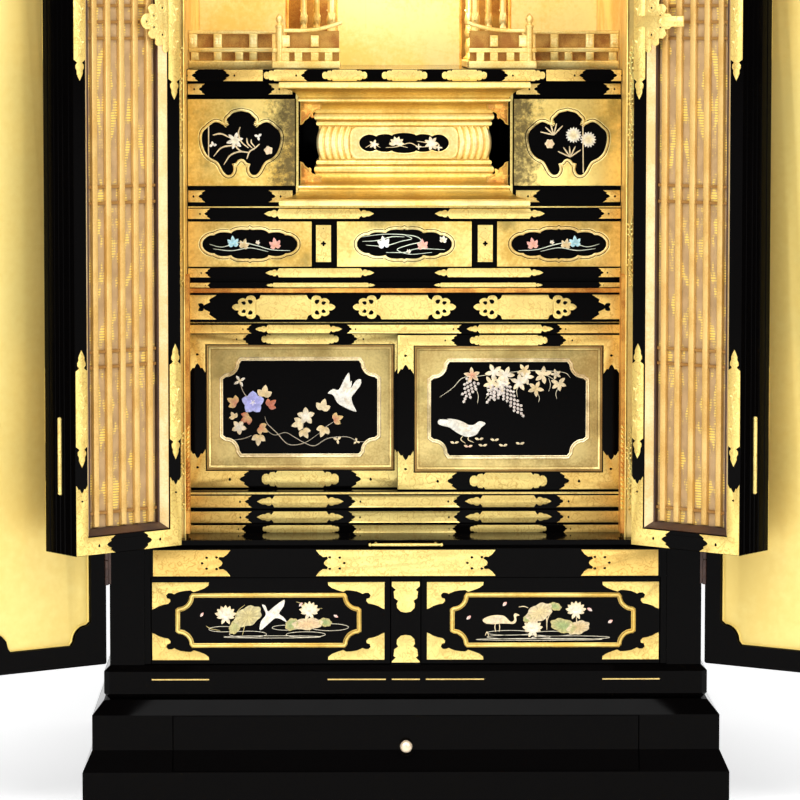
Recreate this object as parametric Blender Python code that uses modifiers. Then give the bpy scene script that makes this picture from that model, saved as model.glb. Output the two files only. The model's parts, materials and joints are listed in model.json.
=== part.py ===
"""Standing household altar cabinet in black lacquer and gold leaf.

Metres, +Z up, front towards -Y, origin on the floor under the middle of the plinth.
The doors stand open as the cabinet is shown; drawers, tray and cupboard doors are closed.
"""
import math

import bmesh
import bpy
from mathutils import Matrix, Vector

# Overall size
BODY_WIDTH = 0.635
BODY_FRONT = -0.250
BODY_BACK = 0.275
HEIGHT = 1.680
SILL_TOP = 0.160
CORNICE_HEIGHT = 0.100
TOUCH = 0.0003
RUNNING = 0.0010

# Plinth: how far each tier stands out from the body, and where the tiers end
TIER_A_OUT, TIER_A_TOP = 0.0285, 0.0490
TIER_B_OUT, TIER_B_BOTTOM, TIER_B_TOP = 0.0185, 0.0715, 0.1090
TIER_C_OUT, TIER_C_BOTTOM = 0.0065, 0.1240
PLINTH_BACK_OUT = 0.005
PLINTH_BAY_HALF = 0.2500
PLINTH_BAY_DEPTH = 0.480
PLINTH_BAY_BOTTOM, PLINTH_BAY_TOP = 0.0500, 0.1085
BAY_CLEARANCE = 0.0100
SILL_EASE = 0.0060
KNOB_RADIUS = 0.0066
KNOB_HEIGHT = 0.0765

# Carcass timbers
WALL = 0.0177
POST_WIDTH, POST_DEPTH = 0.0435, 0.0350
POST_REBATE_WIDTH, POST_REBATE_DEPTH = 0.0065, 0.0040
INNER_HALF = 0.2364
INNER_WALL = 0.0120
INNER_FRONT = -0.1500
JAMB_FRONT = -0.2155
HEAD_RAIL_DEPTH = 0.0200
CORNICE_OUT = TIER_A_OUT + 0.0040

# Doors
OUTER_AXIS_OUT = 0.0030
OUTER_FACE_GAP = 0.0006
OUTER_THICK = 0.0280
OUTER_BOTTOM_GAP = 0.0015
OUTER_STILE, OUTER_RAIL = 0.0195, 0.0230
OUTER_RECESS = 0.0050
OUTER_NOTCH = 0.0240
OUTER_OPEN_DEG, OUTER_FOLD_DEG = 147.0, 33.0
INNER_BOTTOM, INNER_TOP = 0.2955, 1.4040
INNER_THICK = 0.0275
INNER_SETBACK = 0.0030
INNER_STILE, INNER_RAIL = 0.0154, 0.0190
INNER_OPEN_DEG, INNER_FOLD_DEG = 141.0, 180.0
MEETING_GAP = 0.0012
FOLD_GAP = 0.0005
FOLD_AXIS_OFF = 0.0003
LATTICE_CELLS = 6
LATTICE_RIB = 0.0072
LATTICE_RIB_PROUD = 0.0040
LATTICE_BACKING = 0.0022
LATTICE_EDGE = 0.0080

# Lower drawers, front rail and tray
STILE_HALF = 0.0158
STILE_DEPTH = 0.300
DRAWER_BAY_TOP = 0.2547
RAIL_TOP = 0.2860
DRAWER_WALL = 0.0080
LOWER_FRONT_IN = 0.0045
LOWER_DRAWER_DEPTH = 0.400
MOULD_SIDE, MOULD_LOW, MOULD_HIGH = 0.0245, 0.0170, 0.0120
MOULD_RING, MOULD_PROUD, MOULD_NOTCH = 0.0042, 0.0036, 0.0150
TRAY_THICK = 0.0070
TRAY_FRONT_IN = 0.0140
TRAY_DEPTH = 0.340
HANDLE_HALF, HANDLE_BAR, HANDLE_REACH = 0.0400, 0.0022, 0.0130
HANDLE_POST_FROM, HANDLE_POST_TO = 0.0300, 0.0340

# Cupboard
STEP_FRONTS = (-0.1750, -0.1680, -0.1600)
STEP_TOPS = (0.3020, 0.3165, 0.3365)
FLOOR_THICK = 0.0120
CUPBOARD_TOP = 0.5090
DOOR_WIDTH = 0.2435
DOOR_THICK = 0.0170
DOOR_FRONT = -0.1550
DOOR_STILE, DOOR_HEAD, DOOR_FOOT = 0.0185, 0.0123, 0.0194
PANEL_MOULD, PANEL_LIP = 0.0180, 0.0060
PANEL_MOULD_SINK, PANEL_LIP_SINK = 0.0060, 0.0025
PANEL_NOTCH = 0.0180
LINTEL_TOP = 0.5818
LINTEL_DEPTH = 0.0450
LINTEL_STEPS = ((-0.1570, 0.5205), (-0.1540, 0.5225), (-0.1610, 0.5545), (-0.1660, 0.5600),
                (-0.1630, 0.5662), (-0.1570, 0.5695), (-0.1600, LINTEL_TOP))

# Small drawers and the board above them
SMALL_BAY_TOP = 0.6330
SMALL_STILE_FROM, SMALL_STILE_TO = 0.0745, 0.1000
SMALL_STILE_DEPTH = 0.307
SMALL_DRAWER_DEPTH = 0.220
SMALL_FRONT = -0.1570
SMALL_WINDOW_SIDE, SMALL_WINDOW_HALF = 0.0150, 0.0175
WINDOW_SINK = 0.0030
ALTAR_BOARD_TOP = 0.6490

# Side cases, altar platform and shrine floor
CASE_INNER = 0.1145
CASE_DIVIDER = 0.0037
CASE_BOX_BOTTOM = ALTAR_BOARD_TOP + 0.0210
CASE_BOX_TOP = CASE_BOX_BOTTOM + 0.0972
CASE_DEPTH = 0.250
CLOUD_HALF_WIDE, CLOUD_HALF_TALL = 0.0475, 0.0375
SHRINE_FLOOR_BOTTOM = CASE_BOX_TOP + 0.0173
SHRINE_FLOOR_TOP = SHRINE_FLOOR_BOTTOM + 0.0132
SHRINE_FRONT = -0.1600
SHRINE_DEPTH = 0.400
PLATFORM_HALF = 0.1365
PLATFORM_FRONT = -0.1720
PLATFORM_DEPTH = 0.110
PLATFORM_BOARD = 0.0068
WAIST_HALF = 0.0953
BARREL_RIBS, BARREL_PITCH = 4, 0.0080
BRACKET_FRONT, BRACKET_BACK = -0.1400, -0.1330
BRACKET_INNER, BRACKET_REACH, BRACKET_TIP = 0.0900, 0.0510, 0.0195
WAIST_PANEL_HALF_WIDE, WAIST_PANEL_HALF_TALL = 0.0560, 0.0185
CARTOUCHE_HALF_WIDE, CARTOUCHE_HALF_TALL = 0.0480, 0.0105

# Railings, columns, canopy and transom
RAIL_INNER, RAIL_OUTER_RUN = 0.0705, 0.1440
RAIL_Y, RAIL_BACK_Y = -0.1500, -0.1180
FRONT_BLOCKS = (0.0815, 0.0945, 0.1075, 0.1200)
UPPER_BLOCKS = (0.0945, 0.1200)
OUTER_BLOCKS = (0.1620, 0.1850, 0.2080, 0.2290)
COLUMN_RADIUS = 0.0046
SLIM_COLUMN_RADIUS = 0.0033
COLUMN_HEIGHT = 0.265
COLUMN_BASE_X, COLUMN_BASE_Y = (0.0700, 0.1180), (-0.1000, 0.0900)
COLUMN_WRAP_HEIGHT = 0.0620
EAVE_HALF, EAVE_FRONT, EAVE_BACK = 0.1950, -0.1380, 0.1300
EAVE_LIFT = 0.0300
CANOPY_RISE = 0.120
TRANSOM_DROP = 0.110
TRANSOM_THICK = 0.0120

BODY_HALF = BODY_WIDTH / 2
BODY_TOP = HEIGHT - CORNICE_HEIGHT
POST_INNER = BODY_HALF - POST_WIDTH
BACK_INNER = BODY_BACK - WALL
SHRINE_BACK = SHRINE_FRONT + SHRINE_DEPTH
TRAY_BOTTOM = RAIL_TOP + TOUCH
TRAY_TOP = TRAY_BOTTOM + TRAY_THICK

BLACK = ("black_lacquer", (0.006, 0.005, 0.005), 0.08, 0.0)
GOLD = ("gold_leaf", (0.80, 0.56, 0.16), 0.30, 1.0)
PALE_GOLD = ("pale_gold_plate", (0.93, 0.75, 0.32), 0.28, 1.0)
BROWN_GILT = ("brown_gilt", (0.62, 0.34, 0.08), 0.38, 1.0)
GAUZE = ("gilt_gauze", (0.76, 0.52, 0.25), 0.55, 0.2)
IVORY = ("ivory_brass", (0.86, 0.72, 0.52), 0.30, 0.3)


def clear_scene():
    """Remove the objects that the open scene already holds."""
    for old in list(bpy.data.objects):
        bpy.data.objects.remove(old, do_unlink=True)


clear_scene()
PARTS = bpy.data.collections.new("altar_cabinet")
CUTTERS = bpy.data.collections.new("altar_cabinet_cutters")
for group in (PARTS, CUTTERS):
    bpy.context.scene.collection.children.link(group)


def material(look):
    """The Principled material of a look (name, colour, roughness, metallic), made once."""
    name, colour, roughness, metallic = look
    made = bpy.data.materials.get(name)
    if made is None:
        made = bpy.data.materials.new(name)
        made.use_nodes = True
        shader = made.node_tree.nodes["Principled BSDF"]
        shader.inputs["Base Color"].default_value = (*colour, 1.0)
        shader.inputs["Roughness"].default_value = roughness
        shader.inputs["Metallic"].default_value = metallic
        made.diffuse_color = (*colour, 1.0)
    return made


def place(name, mesh, look=None, at=(0, 0, 0), parent=None, smooth=False):
    """Link a mesh as a part, or as a cutter when it has no look."""
    obj = bpy.data.objects.new(name, mesh)
    obj.location = at
    obj.parent = parent
    if look is None:
        CUTTERS.objects.link(obj)
        obj.hide_render = True
        obj.display_type = "WIRE"
        return obj
    PARTS.objects.link(obj)
    mesh.materials.append(material(look))
    if smooth:
        mesh.shade_smooth()
        mesh.set_sharp_from_angle(angle=math.radians(35))
    return obj


def to_mesh(name, bm):
    """Finish a bmesh as a mesh with its faces pointing out."""
    bmesh.ops.recalc_face_normals(bm, faces=bm.faces)
    mesh = bpy.data.meshes.new(name)
    bm.to_mesh(mesh)
    bm.free()
    return mesh


def add_box(bm, low, high):
    """Add a box between two corners."""
    low, high = Vector(low), Vector(high)
    size = Matrix.Diagonal((*(high - low), 1.0))
    bmesh.ops.create_cube(bm, size=1.0, matrix=Matrix.Translation((low + high) / 2) @ size)


def box_mesh(name, low, high):
    """A single box as a mesh."""
    bm = bmesh.new()
    add_box(bm, low, high)
    return to_mesh(name, bm)


def box(name, low, high, look=None, parent=None, at=(0, 0, 0), bevel=0.0):
    """A board between two corners, with its edges eased where a bevel is given."""
    obj = place(name, box_mesh(name, low, high), look, at, parent)
    if bevel:
        ease = obj.modifiers.new("eased_edges", "BEVEL")
        ease.width = bevel
        ease.segments = 1
        ease.limit_method = "ANGLE"
    return obj


def post_mesh(name, radius, at, bottom, top, sides, top_radius=None):
    """An upright cylinder or cone at a plan position, from one height to another."""
    bm = bmesh.new()
    middle = Matrix.Translation((*at, (bottom + top) / 2))
    bmesh.ops.create_cone(bm, cap_ends=True, segments=sides, radius1=radius,
                          radius2=radius if top_radius is None else top_radius,
                          depth=top - bottom, matrix=middle)
    return to_mesh(name, bm)


def slab_mesh(name, outlines, thickness, matrix=None):
    """A filled flat outline (with holes) given thickness, centred on the XY plane, then placed."""
    curve = bpy.data.curves.new(name, "CURVE")
    curve.dimensions = "2D"
    curve.fill_mode = "BOTH"
    curve.extrude = thickness / 2
    for outline in outlines:
        spline = curve.splines.new("POLY")
        spline.points.add(len(outline) - 1)
        for point, (x, y) in zip(spline.points, outline):
            point.co = (x, y, 0.0, 1.0)
        spline.use_cyclic_u = True
    holder = bpy.data.objects.new(name, curve)
    bpy.context.scene.collection.objects.link(holder)
    bpy.context.view_layer.update()
    ready = holder.evaluated_get(bpy.context.evaluated_depsgraph_get())
    mesh = bpy.data.meshes.new_from_object(ready)
    bpy.data.objects.remove(holder, do_unlink=True)
    bpy.data.curves.remove(curve)
    bm = bmesh.new()
    bm.from_mesh(mesh)
    bpy.data.meshes.remove(mesh)
    bmesh.ops.remove_doubles(bm, verts=bm.verts, dist=0.00002)
    bmesh.ops.dissolve_limit(bm, angle_limit=0.001, verts=bm.verts, edges=bm.edges)
    if matrix is not None:
        bm.transform(matrix)
    return to_mesh(name, bm)


def turned(name, profile, sides):
    """A turned solid about +Z: a (radius, height) profile given a Screw modifier and baked."""
    bm = bmesh.new()
    points = [bm.verts.new((radius, 0.0, height)) for radius, height in profile[::-1]]
    for upper, lower in zip(points, points[1:]):
        bm.edges.new((upper, lower))
    outline = bpy.data.meshes.new(name)
    bm.to_mesh(outline)
    bm.free()
    holder = bpy.data.objects.new(name, outline)
    bpy.context.scene.collection.objects.link(holder)
    lathe = holder.modifiers.new("lathe", "SCREW")
    lathe.steps = lathe.render_steps = sides
    lathe.use_merge_vertices = True
    lathe.merge_threshold = 0.00002
    bpy.context.view_layer.update()
    ready = holder.evaluated_get(bpy.context.evaluated_depsgraph_get())
    spun = bpy.data.meshes.new_from_object(ready)
    bpy.data.objects.remove(holder, do_unlink=True)
    bpy.data.meshes.remove(outline)
    bm = bmesh.new()
    bm.from_mesh(spun)
    bpy.data.meshes.remove(spun)
    bmesh.ops.remove_doubles(bm, verts=bm.verts, dist=0.00002)
    return to_mesh(name, bm)


# Turns a slab so that its outline's (x, y) become world (X, Z), extruded along Y
UPRIGHT = Matrix.Rotation(math.pi / 2, 4, "X")
# Turns a slab so that its outline's (x, y) become world (Y, Z), extruded along X
SIDEWAYS = Matrix(((0, 0, 1, 0), (1, 0, 0, 0), (0, 1, 0, 0), (0, 0, 0, 1)))


def upright(name, outlines, front, back):
    """A slab whose outline stands in the XZ plane, from one depth to another."""
    shift = Matrix.Translation((0, (front + back) / 2, 0))
    return slab_mesh(name, outlines, abs(back - front), shift @ UPRIGHT)


def run_along_x(name, outline, half_length):
    """A moulding whose section lies in the YZ plane, run along X."""
    return slab_mesh(name, [outline], 2 * half_length, SIDEWAYS)


def run_along_z(name, outline, bottom, top):
    """A post whose section lies in the XY plane, run up Z."""
    return slab_mesh(name, [outline], top - bottom, Matrix.Translation((0, 0, (bottom + top) / 2)))


def rectangle(x0, z0, x1, z1):
    """Corner points of a rectangle."""
    return [(x0, z0), (x1, z0), (x1, z1), (x0, z1)]


def notched(x0, z0, x1, z1, notch, steps=3):
    """A rectangle whose corners are cut back in an ogee: a step, a hollow quarter and a step."""
    lip = notch * 0.22
    points = []
    for cx, cz, sx, sz, turn in ((x0, z0, 1, 1, 1), (x1, z0, -1, 1, -1),
                                 (x1, z1, -1, -1, 1), (x0, z1, 1, -1, -1)):
        arc = []
        for k in range(steps + 1):
            angle = math.pi / 2 * k / steps
            hollow = notch - lip
            arc.append((cx + sx * (lip + hollow * math.sin(angle)) * 0.86,
                        cz + sz * (lip + hollow * math.cos(angle)) * 0.86))
        corner = [(cx, cz + sz * notch), *arc, (cx + sx * notch, cz)]
        points += corner if turn == 1 else corner[::-1]
    return points


def lobed(cx, cz, half_x, half_z, lobes, depth, per_lobe=5):
    """A long cartouche: an ellipse-ended outline with shallow round lobes along its edge."""
    points, squareness = [], 0.62
    for k in range(lobes * per_lobe):
        angle = 2 * math.pi * k / (lobes * per_lobe)
        wave = 1 - depth * (1 - abs(math.sin(lobes * angle / 2)))
        across, up = (math.copysign(abs(v) ** squareness, v) for v in (math.cos(angle), math.sin(angle)))
        points.append((cx + half_x * wave * across, cz + half_z * wave * up))
    return points


def cloud_window(cx, cz, half_x, half_z, steps=6):
    """The side boxes' window: one top lobe, two side lobes and two feet with a notch between."""
    lobes = ((0.0, 0.46, 0.50, 0.54, 20, 160), (-0.52, 0.02, 0.48, 0.50, 75, 235),
             (-0.36, -0.58, 0.40, 0.42, 170, 322), (0.36, -0.58, 0.40, 0.42, 218, 370),
             (0.52, 0.02, 0.48, 0.50, -55, 105))
    points = []
    for x, z, rx, rz, start, end in lobes:
        for k in range(steps):
            angle = math.radians(start + (end - start) * k / (steps - 1))
            across, up = x + rx * math.cos(angle), z + rz * math.sin(angle)
            points.append((cx + half_x * across, cz + half_z * up))
    return points


def boolean(obj, other, operation="DIFFERENCE"):
    """Cut an object by another, or join the other to it."""
    step = obj.modifiers.new(f"{operation.lower()}_{other.name}", "BOOLEAN")
    step.operation = operation
    step.solver = "EXACT"
    step.object = other


def cut_box(obj, low, high, parent=None):
    """Cut a box out of an object."""
    boolean(obj, box(f"{obj.name}_cut_{len(obj.modifiers)}", low, high, parent=parent))


def join_mesh(obj, mesh, parent=None):
    """Join a mesh to an object as one body."""
    boolean(obj, place(f"{obj.name}_join_{len(obj.modifiers)}", mesh, parent=parent), "UNION")


def cut_mesh(obj, mesh, parent=None):
    """Cut a mesh out of an object."""
    boolean(obj, place(f"{obj.name}_cut_{len(obj.modifiers)}", mesh, parent=parent))


def pivot(name, at, turn_deg=0.0, parent=None):
    """An empty on a joint's axis, turned to its rest angle."""
    empty = bpy.data.objects.new(name, None)
    empty.empty_display_size = 0.03
    empty.location = at
    empty.rotation_euler = (0, 0, math.radians(turn_deg))
    empty.parent = parent
    PARTS.objects.link(empty)
    return empty


def stacked_sections(name, sections, back):
    """Rectangular tiers: each section is (half width, front, height), all with one back plane."""
    bm = bmesh.new()
    rings = []
    for half, front, height in sections:
        corners = ((-half, front), (half, front), (half, back), (-half, back))
        rings.append([bm.verts.new((x, y, height)) for x, y in corners])
    for lower, upper in zip(rings, rings[1:]):
        for k in range(4):
            bm.faces.new((lower[k], lower[(k + 1) % 4], upper[(k + 1) % 4], upper[k]))
    bm.faces.new(rings[0][::-1])
    bm.faces.new(rings[-1])
    return to_mesh(name, bm)


def mirrored(sign, x0, x1):
    """The two X limits on one side, lowest first."""
    return (x0, x1) if sign > 0 else (-x1, -x0)


SIDES = (("left", -1), ("right", 1))


def build_plinth():
    """The stepped plinth with its drawer bay, and the drawer whose front follows the tiers."""
    tiers = [(TIER_A_OUT, 0.0), (TIER_A_OUT, TIER_A_TOP), (TIER_B_OUT, TIER_B_BOTTOM),
             (TIER_B_OUT, TIER_B_TOP), (TIER_C_OUT, TIER_C_BOTTOM - TOUCH)]
    back = BODY_BACK + PLINTH_BACK_OUT
    sections = [(BODY_HALF + out, BODY_FRONT - out, z) for out, z in tiers]
    plinth = place("plinth", stacked_sections("plinth", sections, back), BLACK)
    bay_front = BODY_FRONT - 2 * TIER_A_OUT
    bay_back = BODY_FRONT + PLINTH_BAY_DEPTH
    cut_box(plinth, (-PLINTH_BAY_HALF, bay_front, PLINTH_BAY_BOTTOM),
            (PLINTH_BAY_HALF, bay_back, PLINTH_BAY_TOP))

    slide = pivot("plinth_drawer_slide", (0, BODY_FRONT, PLINTH_BAY_BOTTOM))
    half = PLINTH_BAY_HALF - RUNNING
    low, high = PLINTH_BAY_BOTTOM + RUNNING / 2, PLINTH_BAY_TOP - RUNNING / 2
    slope = (TIER_A_OUT - TIER_B_OUT) * (TIER_B_BOTTOM - low) / (TIER_B_BOTTOM - TIER_A_TOP)
    front_low = -TIER_B_OUT - slope
    drawer_back = PLINTH_BAY_DEPTH - BAY_CLEARANCE
    base = PLINTH_BAY_BOTTOM
    section = [(front_low, low - base), (drawer_back, low - base), (drawer_back, high - base),
               (-TIER_B_OUT, high - base), (-TIER_B_OUT, TIER_B_BOTTOM - base)]
    drawer = place("plinth_drawer", run_along_x("plinth_drawer", section, half), BLACK, parent=slide)
    cut_box(drawer, (-half + DRAWER_WALL, 0.0, low - base + DRAWER_WALL),
            (half - DRAWER_WALL, drawer_back - DRAWER_WALL, 1.0), slide)
    profile = [(0.0, 0.0), (0.45, 0.0), (0.45, 0.35), (0.80, 0.62), (1.0, 1.05), (0.92, 1.50),
               (0.60, 1.90), (0.0, 2.02)]
    knob = turned("plinth_knob", [(r * KNOB_RADIUS, h * KNOB_RADIUS) for r, h in profile], 14)
    seat = Matrix.Translation((0, -TIER_B_OUT - TOUCH, KNOB_HEIGHT - base))
    knob.transform(seat @ Matrix.Rotation(math.pi / 2, 4, "X"))
    place("plinth_knob", knob, IVORY, parent=slide, smooth=True)

    sill_half = BODY_HALF + TIER_C_OUT
    box("body_sill", (-sill_half, BODY_FRONT - TIER_C_OUT, TIER_C_BOTTOM),
        (sill_half, BODY_BACK, SILL_TOP), BLACK, bevel=SILL_EASE)


def build_carcass():
    """Posts, walls, back, head rail and the cornice."""
    low, high = SILL_TOP + TOUCH, BODY_TOP - TOUCH
    post_back = BODY_FRONT + POST_DEPTH
    for side, sign in SIDES:
        rebate = POST_INNER + POST_REBATE_WIDTH
        step = BODY_FRONT + POST_REBATE_DEPTH
        section = [(POST_INNER, step), (rebate, step), (rebate, BODY_FRONT), (BODY_HALF, BODY_FRONT),
                   (BODY_HALF, post_back), (POST_INNER, post_back)]
        outline = [(sign * x, y) for x, y in section]
        place(f"post_{side}", run_along_z(f"post_{side}", outline, low, high), BLACK)
        x0, x1 = mirrored(sign, BODY_HALF - WALL, BODY_HALF)
        box(f"side_wall_{side}", (x0, post_back + TOUCH, low), (x1, BACK_INNER - TOUCH, high), BLACK)
        x0, x1 = mirrored(sign, INNER_HALF + TOUCH, POST_INNER - TOUCH)
        box(f"jamb_{side}", (x0, JAMB_FRONT, RAIL_TOP + TOUCH), (x1, INNER_FRONT - TOUCH, INNER_TOP),
            BROWN_GILT, bevel=0.002)
        x0, x1 = mirrored(sign, INNER_HALF + TOUCH, INNER_HALF + TOUCH + INNER_WALL)
        box(f"inner_wall_{side}", (x0, INNER_FRONT, RAIL_TOP + TOUCH),
            (x1, BACK_INNER - TOUCH, INNER_TOP), GOLD)
    box("back_panel", (-BODY_HALF, BACK_INNER, low), (BODY_HALF, BODY_BACK, high), BLACK)
    rail_half = POST_INNER - TOUCH
    box("head_rail", (-rail_half, JAMB_FRONT, INNER_TOP + TOUCH),
        (rail_half, JAMB_FRONT + HEAD_RAIL_DEPTH, high), BLACK)

    tiers = [(0.0030, 0.0), (0.0030, 0.016), (0.0100, 0.022), (0.0100, 0.034), (0.0200, 0.052),
             (0.0240, 0.060), (0.0240, 0.080), (CORNICE_OUT, 0.086), (CORNICE_OUT, CORNICE_HEIGHT)]
    sections = [(BODY_HALF + out, BODY_FRONT - out, BODY_TOP + z) for out, z in tiers]
    place("cornice", stacked_sections("cornice", sections, BODY_BACK + PLINTH_BACK_OUT), BLACK)


def build_lower_drawers():
    """Centre stile, the rail with its deck, two deep drawers and the pull-out tray."""
    low, high = SILL_TOP + TOUCH, DRAWER_BAY_TOP
    box("drawer_stile", (-STILE_HALF, BODY_FRONT, low),
        (STILE_HALF, BODY_FRONT + STILE_DEPTH, high), BLACK)
    deck_half, rail_half = BODY_HALF - WALL - TOUCH, POST_INNER - TOUCH
    post_back = BODY_FRONT + POST_DEPTH + TOUCH
    plan = [(-rail_half, BODY_FRONT), (rail_half, BODY_FRONT), (rail_half, post_back),
            (deck_half, post_back), (deck_half, BACK_INNER - TOUCH), (-deck_half, BACK_INNER - TOUCH),
            (-deck_half, post_back), (-rail_half, post_back)]
    place("drawer_rail", run_along_z("drawer_rail", plan, high + TOUCH, RAIL_TOP), BLACK)

    for side, sign in SIDES:
        slide = pivot(f"lower_drawer_{side}_slide", (0, BODY_FRONT + LOWER_FRONT_IN, low))
        near, far = STILE_HALF + RUNNING, POST_INNER - RUNNING
        x0, x1 = mirrored(sign, near, far)
        height = high - low
        z0, z1 = RUNNING / 2, height - RUNNING
        name = f"lower_drawer_{side}"
        drawer = box(name, (x0, 0, z0), (x1, LOWER_DRAWER_DEPTH, z1), BLACK, parent=slide)
        cut_box(drawer, (x0 + DRAWER_WALL, 2 * DRAWER_WALL, z0 + DRAWER_WALL),
                (x1 - DRAWER_WALL, LOWER_DRAWER_DEPTH - DRAWER_WALL, 1.0), slide)
        rings = []
        for inset, notch in ((0.0, MOULD_NOTCH), (MOULD_RING, MOULD_NOTCH - 0.0010)):
            rings.append(notched(x0 + MOULD_SIDE + inset, z0 + MOULD_LOW + inset,
                                 x1 - MOULD_SIDE - inset, z1 - MOULD_HIGH - inset, notch))
        moulding = upright(f"{name}_moulding", rings, -MOULD_PROUD, -TOUCH)
        place(f"{name}_moulding", moulding, GOLD, parent=slide)

    slide = pivot("tray_slide", (0, BODY_FRONT + TRAY_FRONT_IN, TRAY_BOTTOM))
    lip, body = POST_INNER - RUNNING, INNER_HALF - RUNNING
    lip_back = JAMB_FRONT - RUNNING - BODY_FRONT - TRAY_FRONT_IN
    plan = [(-lip, 0), (lip, 0), (lip, lip_back), (body, lip_back), (body, TRAY_DEPTH),
            (-body, TRAY_DEPTH), (-body, lip_back), (-lip, lip_back)]
    place("tray", run_along_z("tray", plan, 0.0, TRAY_THICK), BLACK, parent=slide)
    low, high = 0.6 * HANDLE_BAR, 2.4 * HANDLE_BAR
    grip = box("tray_handle", (-HANDLE_HALF, -HANDLE_REACH, low),
               (HANDLE_HALF, -HANDLE_REACH + 2 * HANDLE_BAR, high), PALE_GOLD, parent=slide, bevel=0.0006)
    for sign in (-1, 1):
        x0, x1 = mirrored(sign, HANDLE_POST_FROM, HANDLE_POST_TO)
        join_mesh(grip, box_mesh("grip_post", (x0, -HANDLE_REACH + HANDLE_BAR, low * 1.5),
                                 (x1, -TOUCH, high * 0.875)), slide)


def build_cupboard():
    """Stepped sill, two sliding doors in two tracks, and the lintel with the medallion rail."""
    half = INNER_HALF
    floor = STEP_TOPS[2]
    bottom = TRAY_TOP + TOUCH
    under = INNER_FRONT + 0.040
    section = [(STEP_FRONTS[0], bottom)]
    for front, nxt, top in zip(STEP_FRONTS, (*STEP_FRONTS[1:], BACK_INNER - TOUCH), STEP_TOPS):
        section += [(front, top), (nxt, top)]
    section += [(BACK_INNER - TOUCH, floor - FLOOR_THICK), (under, floor - FLOOR_THICK), (under, bottom)]
    place("cupboard_sill", run_along_x("cupboard_sill", section, half), BLACK)

    z0, z1 = floor + RUNNING, CUPBOARD_TOP - RUNNING
    fronts = {"left": DOOR_FRONT + DOOR_THICK + 2 * RUNNING, "right": DOOR_FRONT}
    for side, sign in SIDES:
        edge = sign * (half - RUNNING / 2)
        x0, x1 = sorted((edge, edge - sign * DOOR_WIDTH))
        slide = pivot(f"cupboard_door_{side}_slide", (x0, fronts[side], z0))
        wide, tall = x1 - x0, z1 - z0
        frame = upright(f"cupboard_door_{side}",
                        [rectangle(0, 0, wide, tall),
                         rectangle(DOOR_STILE, DOOR_FOOT, wide - DOOR_STILE, tall - DOOR_HEAD)], 0, DOOR_THICK)
        place(f"cupboard_door_{side}", frame, BLACK, parent=slide)
        px0, px1 = DOOR_STILE + TOUCH, wide - DOOR_STILE - TOUCH
        pz0, pz1 = DOOR_FOOT + TOUCH, tall - DOOR_HEAD - TOUCH
        panel = box(f"cupboard_panel_{side}", (px0, 0.0005, pz0), (px1, DOOR_THICK - 0.0010, pz1), GOLD,
                    parent=slide)
        for inset, sink, share in ((PANEL_LIP, PANEL_LIP_SINK, 0.6),
                                   (PANEL_MOULD, PANEL_MOULD_SINK, 1.0)):
            window = notched(px0 + inset, pz0 + inset, px1 - inset, pz1 - inset, PANEL_NOTCH * share)
            cut_mesh(panel, upright(f"{panel.name}_window", [window], -0.01, sink), slide)

    back = INNER_FRONT + LINTEL_DEPTH
    section = [(LINTEL_STEPS[0][0], CUPBOARD_TOP)]
    behind = [front for front, _ in LINTEL_STEPS[1:]] + [BACK_INNER - TOUCH]
    for (front, top), next_front in zip(LINTEL_STEPS, behind):
        section += [(front, top), (next_front, top)]
    section += [(BACK_INNER - TOUCH, LINTEL_TOP - FLOOR_THICK), (back, LINTEL_TOP - FLOOR_THICK),
                (back, CUPBOARD_TOP)]
    place("cupboard_lintel", run_along_x("cupboard_lintel", section, half), BLACK)


def drawer_box(name, x0, x1, z0, z1, front, depth, window, look):
    """A drawer with a sunk window in its front, hollow behind, on its own slide."""
    slide = pivot(f"{name}_slide", ((x0 + x1) / 2, front, z0))
    half, tall = (x1 - x0) / 2, z1 - z0
    drawer = box(name, (-half, 0, 0), (half, depth, tall), look, parent=slide)
    wall = DRAWER_WALL * 0.75
    cut_box(drawer, (-half + wall, 2 * DRAWER_WALL, wall), (half - wall, depth - wall, 1.0), slide)
    cut_mesh(drawer, upright(f"{name}_window", [window(half, tall)], -0.01, WINDOW_SINK), slide)


def build_small_drawers():
    """Three small drawers with lobed windows, their two stiles and the altar board."""
    low, high = LINTEL_TOP + TOUCH, SMALL_BAY_TOP - TOUCH
    for side, sign in SIDES:
        x0, x1 = mirrored(sign, SMALL_STILE_FROM, SMALL_STILE_TO)
        box(f"small_stile_{side}", (x0, SMALL_FRONT, low),
            (x1, SMALL_FRONT + SMALL_STILE_DEPTH, high), BLACK)
    spans = {"centre": (-SMALL_STILE_FROM + RUNNING, SMALL_STILE_FROM - RUNNING)}
    for side, sign in SIDES:
        spans[side] = mirrored(sign, SMALL_STILE_TO + RUNNING, INNER_HALF - RUNNING / 2)
    for side, (x0, x1) in spans.items():
        drawer_box(f"small_drawer_{side}", x0, x1, low + RUNNING / 2, high - RUNNING / 2, SMALL_FRONT,
                   SMALL_DRAWER_DEPTH, lambda half, tall: lobed(0, tall / 2, half - SMALL_WINDOW_SIDE,
                                                                SMALL_WINDOW_HALF, 10, 0.10), GOLD)
    box("altar_board", (-INNER_HALF, SMALL_FRONT - 0.001, SMALL_BAY_TOP),
        (INNER_HALF, BACK_INNER - TOUCH, ALTAR_BOARD_TOP), BLACK)


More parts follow.
